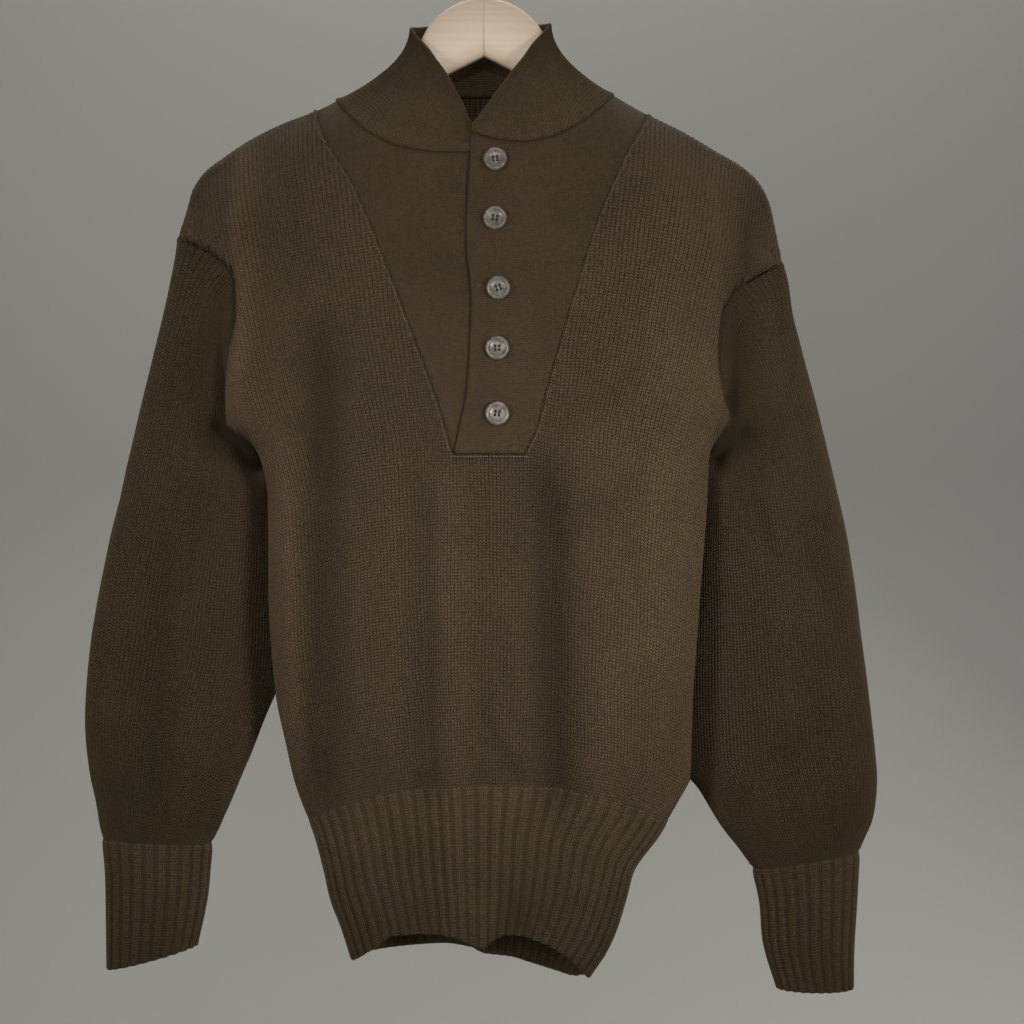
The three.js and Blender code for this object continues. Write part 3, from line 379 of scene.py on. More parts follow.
# Buttons (x, z), and how far each is turned
BUTTONS = [(9.3, -212), (9.3, -258.4), (11.7, -312.8), (11, -359.5), (11, -410)]
BUTTON_TURNS = (0.12, -0.2, 0.35, 0.05, -0.1)
BUTTON_SEAT = 0.6
HOLE_RING = 2.1

# Hanger
HUMP_TOP = -75
HUMP_RADIUS = 54
HUMP_FOOT = -135
ARM_UNDERSIDE = -121.8
ARM_SLOPE = 0.5
ARM_REACH = {"right": 214, "left": 210}
NECK_THICKNESS, TIP_THICKNESS = 16, 12
HANGER_CLEARANCE = 4.8
HOOK_WIRE = 4.4
HOOK_INNER_RADIUS = 22
FLANGE = [(0, 0), (5.6, 0), (6, 0.4), (6, 1.5), (5.4, 2), (3.2, 2.3), (2.6, 3.4), (0, 3.4)]


def lerp(a, b, t):
    return a + (b - a) * t


def smooth(t):
    t = np.clip(t, 0, 1)
    return t * t * (3 - 2 * t)


def near(distance, width):
    """1 on a line, and falling to 0 some two widths away from it."""
    return np.exp(-((distance / width) ** 2))


def fold_rise(folds, x, z):
    rise = np.zeros(np.broadcast(x, z).shape)
    for x0, z0, x1, z1, width, height in folds:
        dx, dz = x1 - x0, z1 - z0
        t = np.clip(((x - x0) * dx + (z - z0) * dz) / (dx * dx + dz * dz), 0, 1)
        away = ((x - x0 - t * dx) ** 2 + (z - z0 - t * dz) ** 2) / width**2
        rise += height * np.exp(-away)
    return rise


def unevenness(x, z, seed=0.0):
    """Gentle waves that no two places share."""
    a = np.sin(x / 23 + 1.7 * np.sin(z / 61 + seed)) * np.sin(z / 47 + seed + x / 90)
    b = np.sin(x / 9.3 + 2.1 * np.sin(z / 37) + seed) * np.sin(z / 21 + x / 33 + 2 * seed)
    return 0.75 * a + 0.3 * b


def by_side(x, right, left):
    return np.where(x < 0, right, left)


def edge_of(x, z):
    return by_side(x, RIGHT_EDGE(z), LEFT_EDGE(z))


def tip_height(x):
    return by_side(x, RIGHT_TIP[1], LEFT_TIP[1])


def tip_width(x):
    return by_side(x, -RIGHT_TIP[0], LEFT_TIP[0])


def below_shoulder(x, z):
    """How far a point lies from the shoulder line, square to it."""
    slope = (SHOULDER(x + 1) - SHOULDER(x - 1)) / 2
    return (SHOULDER(x) - z) / np.sqrt(1 + slope**2)


def armhole_depth(x, z, face):
    top = tip_height(x)
    pit = by_side(x, RIGHT_PIT[1], LEFT_PIT[1])
    ease = ARMHOLE_EASE * (1 - np.clip(np.abs(x) / edge_of(x, z), 0, 1) ** 4)
    t = np.clip((top + ease - z) / (top + ease - pit), 0, 1)
    return ARMHOLE_DEPTH[face] * (4 * t * (1 - t)) ** 0.5


def folds_at(x, z, face):
    return fold_rise(FOLDS[face] + CREASES[face], x, z)


def body_depth(x, z, face):
    below = np.clip(below_shoulder(x, z) / ARCH_DROP, 0, 1)
    arch = np.sqrt(1 - (1 - below) ** 2)
    full = np.abs(x) / edge_of(x, z)
    levelled = sum(edge_of(x, z + by) for by in EDGE_SPREAD) / len(EDGE_SPREAD)
    across = np.clip(lerp(np.abs(x) / levelled, full, smooth((full - 0.5) / 0.5)), 0, 1)
    rounded = np.sqrt(1 - across**2.3)
    folds = folds_at(x, z, face) + unevenness(x, z, 0.0 if face == "front" else 2.4)
    depth = DEPTH(z)[..., 0 if face == "front" else 1]
    edge = armhole_depth(x, z, face) * (1 - rounded) ** 1.5
    return depth * arch * rounded + edge + folds * rounded * arch


def body_points(x, z, face, raised=0.0):
    x, z = np.broadcast_arrays(np.asarray(x, float), np.asarray(z, float))
    y = body_depth(x, z, face) + raised
    return np.stack([x, -y if face == "front" else y, z], -1)


def waist_seam(share):
    return -698 - 22 * share**2 - 10 * share**4


def lengths_along(points, axis):
    """Distance travelled along a grid's rows (axis 1) or columns (axis 0)."""
    steps = np.linalg.norm(np.diff(points, axis=axis), axis=-1)
    pad = [(0, 0), (0, 0)]
    pad[axis] = (1, 0)
    return np.cumsum(np.pad(steps, pad), axis=axis)


def even_shares(face, z, count):
    """Shares of the half width that lie at equal steps along the cloth."""
    fine = -np.cos(np.linspace(0, pi, 801))
    line = body_points(fine * edge_of(fine, np.full(801, float(z))), z, face)
    travelled = lengths_along(line[None], 1)[0]
    return np.interp(np.linspace(0, travelled[-1], count + 1), travelled, fine)


def side_heights():
    turn = (1 - np.cos(np.linspace(0, pi, ARMHOLE_ROWS + 1))) / 2
    down = np.linspace(0, 1, BODY_ROWS + 1)[1:]
    foot = waist_seam(1)
    heights = []
    for (_, tip), (_, pit) in ((RIGHT_TIP, RIGHT_PIT), (LEFT_TIP, LEFT_PIT)):
        heights.append(np.concatenate([lerp(tip, pit, turn), lerp(pit, foot, down)]))
    return heights


def panel_grid(face, shares):
    """x and z of one large panel, from the shoulder line to the waist seam."""
    right, left = (h[:, None] for h in side_heights())
    share = shares[None, :]
    mix = smooth((share + 1) / 2)
    level = lerp(right, left, mix)
    fan = SHOULDER_FAN * np.sin(pi * share) * (1 - smooth((level[:1] - level) / FAN_DEPTH))
    x = share * by_side(share, RIGHT_WALES(right + 0 * share), LEFT_WALES(left + 0 * share)) + fan
    top_x = share * tip_width(share) + fan[:1]
    top = SHOULDER(top_x)
    if face == "back":
        top = np.where((top_x > NECK_RIGHT) & (top_x < NECK_LEFT), NECKLINE_BACK(top_x), top)
    foot = waist_seam(1)
    down = lerp(
        (RIGHT_TIP[1] - right) / (RIGHT_TIP[1] - foot), (LEFT_TIP[1] - left) / (LEFT_TIP[1] - foot), mix,
    )
    above = (top - lerp(RIGHT_TIP[1], LEFT_TIP[1], mix)) * (1 - down) ** ROW_LEVELLING
    z = level + above + (waist_seam(share) - foot) * down
    return x, z


def grid_normals(points, closed=False):
    """Unit normals of a grid of points, to the right of its rows seen from the front."""
    if closed:
        across = np.roll(points, -1, 1) - np.roll(points, 1, 1)
    else:
        across = np.gradient(points, axis=1)
    down = np.gradient(points, axis=0)
    return unit(np.cross(down, across))


def unit(vectors):
    return vectors / np.maximum(np.linalg.norm(vectors, axis=-1, keepdims=True), TINY)


def bowed(points):
    """The forward curve that the hanger gives the whole garment."""
    out = np.array(points, float)
    out[..., 1] -= SHOULDER_BOW * (out[..., 0] / SHOULDER_REACH) ** 2
    return out


# Meshes

def add_object(name, data):
    thing = bpy.data.objects.new(name, data)
    bpy.context.scene.collection.objects.link(thing)
    return thing


def stand_for(node):
    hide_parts(node)


def mesh_object(name, vertices, faces, material, uvs=None, painted_shading=None):
    """A piece from points in millimetres. uvs holds one pair for each corner of each face."""
    mesh = bpy.data.meshes.new(name)
    mesh.vertices.add(len(vertices))
    mesh.vertices.foreach_set("co", (bowed(vertices) * MM).ravel())
    sizes = np.array([len(face) for face in faces])
    mesh.loops.add(int(sizes.sum()))
    mesh.loops.foreach_set("vertex_index", np.concatenate(list(faces)))
    mesh.polygons.add(len(sizes))
    mesh.polygons.foreach_set("loop_start", np.cumsum(sizes) - sizes)
    mesh.update(calc_edges=True)
    if uvs is not None:
        mesh.uv_layers.new(name="knit").data.foreach_set("uv", uvs.ravel())
    # one value for each point of painted shade and highlight, which the knit material multiplies into the
    # wool's colour
    if painted_shading is not None:
        mesh.attributes.new("painted_shading", "FLOAT", "POINT").data.foreach_set("value", painted_shading.ravel())
    mesh.validate()
    mesh.shade_smooth()
    mesh.materials.append(material)
    piece = add_object(name, mesh)
    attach(piece, "root")
    return piece


def grid_faces(rows, columns, closed=False, flip=False):
    """Corner indices of a grid's cells, and each corner's row and column."""
    cells = np.meshgrid(np.arange(rows - 1), np.arange(columns if closed else columns - 1), indexing="ij")
    j, i = (c.ravel() for c in cells)
    corners_j = np.stack([j, j, j + 1, j + 1], 1)
    corners_i = np.stack([i, i + 1, i + 1, i], 1)
    if flip:
        corners_j, corners_i = corners_j[:, ::-1], corners_i[:, ::-1]
    return corners_j * columns + corners_i % columns, corners_j, corners_i


def grid_skin(u, v, closed, flip):
    """A grid's faces and the map at their corners. A closed grid's map has a column more."""
    faces, corners_j, corners_i = grid_faces(v.shape[0], v.shape[1] - closed, closed, flip)
    u = np.broadcast_to(u, v.shape)
    return faces, np.stack([u[corners_j, corners_i], v[corners_j, corners_i]], -1)


def grid_object(name, points, u, v, material, painted_shading, closed=False, flip=False, gone=None):
    """A single surface through a grid, without the cells that are gone or have no area."""
    faces, uvs = grid_skin(u, v, closed, flip)
    flat = points.reshape(-1, 3)
    a, b, c, d = (flat[faces[:, k]] for k in range(4))
    keep = np.linalg.norm(np.cross(c - a, d - b), axis=-1) > SMALLEST_CELL
    if gone is not None:
        keep &= ~gone.ravel()[faces].all(1)
    return mesh_object(name, flat, faces[keep], material, uvs[keep], painted_shading)


def rim(edge_out, edge_in, before):
    """Points that round off the rim between a wall's two faces."""
    reach = np.linalg.norm(edge_out - edge_in, axis=-1, keepdims=True) * RIM_REACH
    return (edge_out + edge_in) / 2 + unit(edge_out - before) * reach


def wall_object(name, outer, inner, u, v, material, painted_shading=None, closed=False, flip=False, flat_top=False):
    """A wall between two grids, with rounded rims."""
    count, columns = outer.shape[:2]
    first = 0 if flat_top else 1
    v = np.broadcast_to(v, (count, columns + closed))
    layers = [outer, rim(outer[-1], inner[-1], outer[-2])[None], inner[::-1]]
    v_layers = [v, v[-1:] + RIM_COURSES, v[::-1] + 2 * RIM_COURSES]
    if not flat_top:
        layers.insert(0, rim(outer[0], inner[0], outer[1])[None])
        v_layers.insert(0, v[:1] - RIM_COURSES)
    layers.append(layers[0][:1])
    v_layers.append(v_layers[-1][-1:] + RIM_COURSES)
    points, v = np.concatenate(layers).reshape(-1, 3), np.concatenate(v_layers)
    faces, uvs = grid_skin(u, v, closed, flip)
    if not closed:
        u = np.broadcast_to(u, v.shape)
        down = np.arange(count)
        for column, before, turn in ((0, 1, flip), (columns - 1, columns - 2, not flip)):
            front = (first + down) * columns + column
            middle = len(points) + down
            back = (first + 2 * count - down) * columns + column
            side = rim(outer[:, column], inner[:, column], outer[:, before])
            points = np.concatenate([points, side])
            order = slice(None, None, -1 if turn else 1)
            place = np.stack([np.full(count, u[0, column]), v[first:first + count, 0]], 1)
            places = np.stack([place[:-1], place[1:], place[1:], place[:-1]], 1)[:, order]
            for p, q in ((front, middle), (middle, back)):
                quads = np.stack([p[:-1], p[1:], q[1:], q[:-1]], 1)[:, order]
                faces = np.concatenate([faces, quads])
                uvs = np.concatenate([uvs, places])
    if painted_shading is not None:
        shade = np.zeros(len(points))
        shade[first * columns:first * columns + painted_shading.size] = painted_shading.ravel()
        painted_shading = shade
    piece = mesh_object(name, points, faces, material, uvs, painted_shading)
    weld(piece.data)
    return piece


def weld(mesh):
    work = bmesh.new()
    work.from_mesh(mesh)
    bmesh.ops.remove_doubles(work, verts=work.verts, dist=WELD_DISTANCE)
    work.to_mesh(mesh)
    work.free()


def span(points, axis, absent):
    """Greatest length along a grid's rows or columns, without the absent stretches."""
    steps = np.linalg.norm(np.diff(points, axis=axis), axis=-1)
    both = absent[:, 1:] & absent[:, :-1] if axis else absent[1:] & absent[:-1]
    return (steps * ~both).sum(axis).max() * MM


def declare_cloth(base, closed=False, beyond=None, gone=None):
    """Works out the areas of the cells of a cloth piece's grid without its stitches, leaving out the cells
    that are gone, and does nothing more with them.
    """
    grid = np.concatenate([base, base[:, :1]], 1) if closed else base
    none = np.zeros(grid.shape[:2], bool)
    beyond, gone = (none if mask is None else mask for mask in (beyond, gone))
    a, b, c, d = grid[:-1, :-1], grid[:-1, 1:], grid[1:, 1:], grid[1:, :-1]
    cells = np.linalg.norm(np.cross(c - a, d - b), axis=-1) / 2
    cells = cells * ~(gone[:-1, :-1] & gone[:-1, 1:] & gone[1:, 1:] & gone[1:, :-1])


# Materials

STITCH_V = 0.55  # how steeply the legs of a stitch rise
WOOL_ROUGHNESS = 0.86
WOOL_SHEEN_ROUGHNESS = 0.45


class Nodes:
    """Short ways to add shader nodes to one material."""

    def __init__(self, name):
        self.material = bpy.data.materials.new(name)
        self.material.use_nodes = True
        self.tree = self.material.node_tree
        self.shader = self.tree.nodes["Principled BSDF"]

    def add(self, kind, **settings):
        node = self.tree.nodes.new(kind)
        for key, value in settings.items():
            setattr(node, key, value)
        return node

    def link(self, source, target):
        self.tree.links.new(source, target)

    def put(self, socket, value):
        if isinstance(value, bpy.types.NodeSocket):
            self.link(value, socket)
        else:
            socket.default_value = value

    def math(self, operation, *values, clamp=False):
        node = self.add("ShaderNodeMath", operation=operation, use_clamp=clamp)
        for socket, value in zip(node.inputs, values):
            self.put(socket, value)
        return node.outputs[0]

    def times(self, a, b, clamp=False):
        return self.math("MULTIPLY", a, b, clamp=clamp)

    def plus(self, a, b, clamp=False):
        return self.math("ADD", a, b, clamp=clamp)

    def place(self):
        return self.add("ShaderNodeTexCoord").outputs["Object"]

    def mix(self, factor, a, b):
        node = self.add("ShaderNodeMix", data_type="RGBA")
        self.put(node.inputs["Factor"], factor)
        self.put(node.inputs[6], a)
        self.put(node.inputs[7], b)
        return node.outputs[2]

    def noise(self, vector, scale, detail=2.0, roughness=0.5):
        node = self.add("ShaderNodeTexNoise")
        self.link(vector, node.inputs["Vector"])
        node.inputs["Scale"].default_value = scale
        node.inputs["Detail"].default_value = detail
        node.inputs["Roughness"].default_value = roughness
        return node.outputs["Fac"]

    def range(self, value, low, high, to_low=0.0, to_high=1.0):
        node = self.add("ShaderNodeMapRange", clamp=True)
        for socket, number in zip(node.inputs, (value, low, high, to_low, to_high)):
            self.put(socket, number)
        return node.outputs[0]

    def bump(self, height, strength, distance):
        node = self.add("ShaderNodeBump")
        node.inputs["Strength"].default_value = strength
        node.inputs["Distance"].default_value = distance
        self.link(height, node.inputs["Height"])
        return node.outputs[0]

    def set(self, **values):
        for key, value in values.items():
            self.put(self.shader.inputs[key.replace("_", " ")], value)


def linear(red, green, blue):
    """An sRGB colour in 0 to 255 as a linear colour."""
    values = [c / 255 for c in (red, green, blue)]
    return (*[c / 12.92 if c <= 0.04045 else ((c + 0.055) / 1.055) ** 2.4 for c in values], 1)


def knit_material(name, light, dark, stitch_depth, furrow_shade, wales_a_rib=0):
    """Rows of V stitches. The mesh's map counts wales across and courses down."""
    n = Nodes(name)
    apart = n.add("ShaderNodeSeparateXYZ")
    n.link(n.add("ShaderNodeUVMap", uv_map="knit").outputs[0], apart.inputs[0])
    wale, course = apart.outputs[0], apart.outputs[1]
    at = n.place()

    wander = n.times(n.plus(n.noise(at, 90.0), -0.5), 0.5)
    leg = n.times(n.math("ABSOLUTE", n.plus(n.math("FRACT", wale), -0.5)), 2.0)
    rising = n.plus(n.math("SUBTRACT", course, n.times(leg, STITCH_V)), wander)
    strand = n.math("SINE", n.times(n.math("FRACT", rising), pi))
    strand = n.math("POWER", n.math("ABSOLUTE", strand), 0.8)
    groove = n.math("SINE", n.times(leg, pi))
    groove = n.math("POWER", n.math("ABSOLUTE", groove), 0.55)
    height = n.times(strand, n.plus(n.times(groove, 0.75), 0.25))

    fibre = n.noise(at, 1700.0, 3.0, 0.7)
    cloud = n.noise(at, 16.0, 4.0, 0.6)
    speck = n.noise(at, 420.0, 2.0, 0.5)
    # painted shade where the stitches' strands dip away, with flecks and clouds that are the yarn's own
    # tone
    tone = n.plus(n.times(height, 0.6), n.times(n.plus(speck, -0.27), 0.7))
    tone = n.plus(tone, n.times(n.plus(cloud, -0.5), 0.35), clamp=True)
    # painted shade in the furrows between wales
    between = n.math("COSINE", n.times(wale, 2 * pi))
    tone = n.times(tone, n.range(between, -0.2, 1.0, 1.0, 1 - furrow_shade))
    # painted shading: a value stored on each point darkens the wool's colour in folds, creases, beside
    # seams and under the arms, and lightens it on crests and along the armhole edges
    painted_shading = n.add("ShaderNodeAttribute", attribute_name="painted_shading").outputs["Fac"]
    tone = n.times(tone, n.plus(painted_shading, 1.0), clamp=True)
    if wales_a_rib:
        # painted shade in the rib's troughs
        trough = n.math("COSINE", n.times(wale, 2 * pi / wales_a_rib))
        tone = n.times(tone, n.range(trough, -1.0, 0.0, 0.62, 1.0))
    n.set(Base_Color=n.mix(tone, dark, light), Roughness=WOOL_ROUGHNESS, Specular_IOR_Level=0.22)
    n.set(Sheen_Weight=0.28, Sheen_Roughness=WOOL_SHEEN_ROUGHNESS, Sheen_Tint=linear(150, 128, 98))
    n.set(Normal=n.bump(n.plus(height, n.times(fibre, 0.28)), 0.85, stitch_depth))
    return n.material


body_knit = knit_material("body_knit", linear(110, 91, 67), linear(17, 12, 7), 0.0015, 0.47)
# the sleeves' wool is the body's wool, painted darker as shade for the sleeves hanging back from the light
sleeve_knit_shaded = knit_material("sleeve_knit_shaded", linear(86, 70, 47), linear(14, 10, 6), 0.0015, 0.45)
fine_knit = knit_material("bib_knit", linear(99, 82, 57), linear(25, 19, 12), 0.0008, 0.25)
rib_knit = knit_material("rib_knit", linear(104, 86, 60), linear(14, 10, 6), 0.0011, 0.2, WALES_A_RIB)


def button_material():
    n = Nodes("button")
    swirl = n.noise(n.place(), 260.0, 4.0, 0.6)
    colour = n.mix(n.range(swirl, 0.35, 0.7), linear(72, 67, 60), linear(124, 117, 107))
    n.set(Base_Color=colour, Roughness=0.34, Specular_IOR_Level=0.5, Coat_Weight=0.25, Coat_Roughness=0.18)
    n.set(Normal=n.bump(n.noise(n.place(), 900.0), 0.12, 0.0004))
    return n.material


def thread_material():
    n = Nodes("thread")
    colour = n.mix(n.noise(n.place(), 3000.0), linear(48, 38, 26), linear(92, 76, 54))
    n.set(Base_Color=colour, Roughness=0.8)
    return n.material


def wood_material():
    n = Nodes("hanger_wood")
    drawn_out = n.add("ShaderNodeMapping")
    n.link(n.place(), drawn_out.inputs["Vector"])
    drawn_out.inputs["Scale"].default_value = (4, 30, 46)
    wave = n.add("ShaderNodeTexWave", wave_type="BANDS", bands_direction="Z")
    n.link(drawn_out.outputs[0], wave.inputs["Vector"])
    for key, value in (("Scale", 1.1), ("Distortion", 7.0), ("Detail", 3.0)):
        wave.inputs[key].default_value = value
    pores = n.noise(drawn_out.outputs[0], 28.0, 4.0, 0.7)
    grain = n.plus(n.times(wave.outputs["Fac"], 0.25), n.times(pores, 0.7))
    colour = n.mix(n.range(grain, 0.3, 0.8), linear(224, 204, 180), linear(214, 193, 167))
    n.set(Base_Color=colour, Roughness=0.52, Coat_Weight=0.22, Coat_Roughness=0.3)
    n.set(Normal=n.bump(grain, 0.08, 0.0004))
    return n.material


def wire_material():
    n = Nodes("hook_wire")
    wear = n.noise(n.place(), 220.0, 5.0, 0.65)
    n.set(Base_Color=linear(205, 207, 210), Metallic=1.0, Roughness=n.range(wear, 0.3, 0.7, 0.14, 0.34))
    return n.material


def yarn_material():
    n = Nodes("seam_yarn")
    colour = n.mix(n.noise(n.place(), 380.0), linear(52, 42, 28), linear(112, 95, 70))
    n.set(Base_Color=colour, Roughness=WOOL_ROUGHNESS)
    n.set(Sheen_Weight=0.25, Sheen_Roughness=WOOL_SHEEN_ROUGHNESS)
    n.set(Normal=n.bump(n.noise(n.place(), 1900.0), 0.5, 0.0005))
    return n.material


seam_yarn = yarn_material()
button_finish = button_material()
thread_finish = thread_material()
wood_finish = wood_material()
wire_finish = wire_material()


# Body panels

def wale_crest(u):
    return 0.5 - 0.5 * np.cos(2 * pi * u)


def seam_dip(distance, depth, width):
    return -depth * near(distance, width)


def seam_ridge(distance, dip, ridge):
    """A narrow groove along a seam with a rounded ridge of turned cloth beside it."""
    return ridge * near(distance - 2.2 * SEAM_REACH, SEAM_REACH) - dip * near(distance, SEAM_REACH)


def clamp_columns(x, carried, target, beyond):
    """Moves the points beyond a seam onto it, along their rows, with what they carry."""
    moved = np.where(beyond, target, x)
    for values in carried:
        for j in range(len(x)):
            values[j] = np.where(beyond[j], np.interp(moved[j], x[j], values[j]), values[j])
    return moved


def body_panel(face):
    count = BODY_WALES * SAMPLES_PER_WALE
    shares = even_shares(face, PANEL_MIDDLE, count)
    x, z = panel_grid(face, shares)
    u = np.broadcast_to(np.arange(count + 1) / SAMPLES_PER_WALE, x.shape).copy()
    wobble = 0.5 * np.sin(z / 31 + x / 17) + 0.35 * np.sin(z / 11.5 - x / 29)
    x = x + wobble * smooth((1 - np.abs(shares)) * 12) * smooth((z[:1] - z) / 12)
    uncut = body_points(x, z, face)
    normals = grid_normals(uncut) * OUTWARD[face]
    v = lengths_along(uncut, 0)
    v = (v - v[-1]) / COURSE
    carried = (u, v, *np.moveaxis(normals, -1, 0))
    edge = edge_of(x, z)
    beyond = (np.abs(x) >= edge) & (z < tip_height(x) + 1e-6)
    beyond |= np.abs(shares) == 1
    seam = np.sign(x) * edge
    gone, drawn = beyond.copy(), beyond
    cut = np.full(x.shape, FAR)
    if face == "front":
        z, bib_seam, in_bib, above = bib_opening(x, z)
        gone |= in_bib
        drawn = beyond | above
        x = clamp_columns(x, carried, np.where(above, bib_seam, seam), drawn)
        cut = bib_distance(x, z)
    else:
        x = clamp_columns(x, carried, seam, drawn)
        in_neck = (x[0] > NECK_RIGHT) & (x[0] < NECK_LEFT)
        z[0] += 2.5 * in_neck
    base = body_points(x, z, face)
    travelled = lengths_along(base, 0)
    left = travelled[-1] - travelled
    lean = (edge_of(x, z + 2) - edge_of(x, z - 2)) / 4
    side = np.maximum(edge_of(x, z) - np.abs(x), 0) / np.sqrt(1 + lean**2)
    drop = below_shoulder(x, z)
    relief = WALE_RELIEF * wale_crest(u) * smooth(cut / 2) * smooth(side / 2)
    relief *= 0.3 + 0.7 * smooth(travelled / 4)
    past_tip = smooth(np.hypot(np.abs(x) - tip_width(x), z - tip_height(x)) / 12)
    relief += seam_ridge(cut, 1.4, 1.2) + seam_ridge(side, 1.0, 0.5) * past_tip
    relief += seam_ridge(left, 0.9, 0.3)
    if face == "front":
        outer_shoulder = smooth((np.abs(x) - 120) / 60)
        relief += outer_shoulder * (1.5 * near(drop - 5.6, 1.5) - near(drop - 8.4, 1.4))
    relief = np.where(beyond, 0, relief)
    points = base + normals * relief[..., None]
    # painted shade in the folds' troughs and painted highlight on their crests
    painted_shading = np.clip(FOLD_SHADE * folds_at(x, z, face), -0.4, 0.18)
    # painted highlight along the armhole edge, stronger on the wearer's right, between the rows these
    # heights mark
    armhole_highlight_rows = smooth((-z - 195) / 40) * (1 - smooth((-z - 390) / 60))
    painted_shading += by_side(x, 0.26, 0.08) * armhole_highlight_rows * near(side - 9, 8)
    if face == "front":
        # painted shade down the middle of the front
        painted_shading -= MIDDLE_SHADE * near(x + 35, 130) * smooth((-z - 250) / 130)
    # painted shadow in the groove beside each seam
    painted_shading -= 0.5 * near(cut, SEAM_SHADOW) + 0.3 * near(side, SEAM_SHADOW) * past_tip
    piece = grid_object(
        f"{face}_knit", points, u, v, body_knit, painted_shading, flip=face == "front", gone=gone,
    )
    stand_for(f"body_{face}")
    declare_cloth(
        base, beyond=beyond, gone=gone,
    )


def bib_opening(x, z):
    """The seam nearest to each point, and which points lie in the bib's opening."""
    z = z.copy()
    middle = slice(x.shape[1] // 2 - 60, x.shape[1] // 2 + 60)
    first_below = np.argmax(z[:, middle].mean(1) < BIB_BOTTOM)
    within = (x[first_below] > BIB_RIGHT(BIB_BOTTOM) - 1) & (x[first_below] < BIB_LEFT(BIB_BOTTOM) + 1)
    z[first_below, within] = BIB_BOTTOM
    right, left = BIB_RIGHT(z), BIB_LEFT(z)
    inside = (z > BIB_BOTTOM - 0.01) & (x > right) & (x < left)
    above = inside & (z > BIB_BOTTOM + 0.01)
    return z, np.where(x < (right + left) / 2, right, left), inside, above


def bib_distance(x, z):
    right, left = BIB_RIGHT(z), BIB_LEFT(z)
    beside = np.minimum(np.abs(x - right), np.abs(x - left)) * 0.93
    beside = np.where(z > BIB_BOTTOM + 0.01, beside, FAR)
    bar = np.where((x > right - 1) & (x < left + 1), np.abs(z - BIB_BOTTOM), FAR)
    return np.minimum(beside, bar)


# Bib

def placket_lift(x):
    return PLACKET_LIFT * (1 - smooth((x - PLACKET_INNER_EDGE) / PLACKET_FADE))


def bib_grid(right_edge, left_edge, neckline, columns, rows):
    t = np.linspace(0, 1, columns + 1)
    z = np.full(columns + 1, -180.0)
    for _ in range(60):
        x = lerp(right_edge(z), left_edge(z), t)
        top = np.where((x > NECK_RIGHT) & (x < NECK_LEFT), neckline(x), SHOULDER(x))
        z = lerp(z, top, 0.5)
    down = np.linspace(0, 1, rows + 1)[:, None]
    z = lerp(z[None, :], float(BIB_BOTTOM), down)
    return lerp(right_edge(z), left_edge(z), t[None, :]), z


def bib_piece(name, node, right_edge, left_edge, neckline, lift, columns, over):
    x, z = bib_grid(right_edge, left_edge, neckline, columns, BIB_ROWS)
    base = body_points(x, z, "front", lift(x) - BIB_SINK)
    travelled = lengths_along(base, 0)
    at_neck = smooth((x[0] - NECK_RIGHT) / 8) * smooth((NECK_LEFT - x[0]) / 8)
    dip = at_neck * seam_dip(travelled, 2, 2.6) + seam_dip(travelled[-1] - travelled, 0.3, 1.6)
    # painted shadow under the collar along the neck seam, and painted shade lower down the bib
    painted_shading = -0.55 * near(travelled, 3) * at_neck - 0.5 * MIDDLE_SHADE * smooth((-z - 220) / 110)
    if over:
        dip += 1.1 * near(x - right_edge(z) - 2.2, 1.6) + seam_dip(x - left_edge(z), 0.6, 1.8)
    else:
        dip += seam_dip(x - right_edge(z), 0.6, 1.8)
        # painted shadow beside the upper placket's free edge, on the bib beneath it
        painted_shading -= 0.5 * near(np.maximum(PLACKET_EDGE(z) - x, 0), 2.2)
    normals = grid_normals(base)
    outer = base + normals * dip[..., None]
    inner = base - normals * FINE_KNIT
    u, v = x / FINE_WALE, (travelled - travelled[-1]) / FINE_COURSE
    u = np.concatenate([u[:1], u, u[-1:], u[::-1], u[:1]])
    piece = wall_object(name, outer, inner, u, v, fine_knit, painted_shading, flip=True)
    stand_for(node)
    declare_cloth(base)


def under_bib_edge(z):
    return np.full_like(z, float(PLACKET_INNER_EDGE))


def under_bib_lift(x):
    return np.full_like(x, UNDER_BIB_LIFT)


# Ribbed bands

def rib_profile(u):
    """A rounded crest and a narrower furrow for each rib."""
    wave = 0.5 - 0.5 * np.cos(2 * pi * u)
    return wave**0.7


def hem(face, share):
    return HEM[face](share * edge_of(share, np.full_like(share, float(HEM_LEVEL))))


def waistband(face):
    count = WAIST_RIBS * RIB_SAMPLES
    shares = even_shares(face, WAISTBAND_MIDDLE, count)
    t = np.linspace(0, 1, WAISTBAND_ROWS + 1)[:, None]
    z, right, left = (
        lerp(waist_seam(share)[None, :], hem(face, share)[None, :], t)
        for share in (shares, np.array([-1.0]), np.array([1.0]))
    )
    share = shares[None, :]
    x = share * edge_of(share, by_side(share, right, left))
    base = body_points(x, z, face)
    u = np.broadcast_to(np.arange(count + 1) / RIB_SAMPLES, x.shape)
    travelled = lengths_along(base, 0)
    grown = smooth(travelled / 9)
    normals = grid_normals(base) * OUTWARD[face]
    normals[:, [0, -1], 1] = 0
    normals = unit(normals)
    crest = rib_profile(u + 0.5) - 0.5
    rise = RIB_RISE * crest * grown + seam_ridge(travelled, 0.9, 0.2)
    outer = base + normals * rise[..., None]
    inner = base - normals * (KNIT - 0.6 - 0.8 * crest * grown)[..., None]
    outer[:, [0, -1]] = base[:, [0, -1]]
    # painted shade in the folds, and painted shade that grows towards the hem
    painted_shading = np.clip(FOLD_SHADE * folds_at(x, z, face), -0.3, 0.15) - HEM_SHADE * smooth(t)
    piece = wall_object(
        f"waist_rib_{face}", outer, inner, u[0] * WALES_A_RIB, travelled / RIB_COURSE, rib_knit, painted_shading,
        flip=face == "front", flat_top=True,
    )
    stand_for(f"waistband_{face}")
    declare_cloth(base)


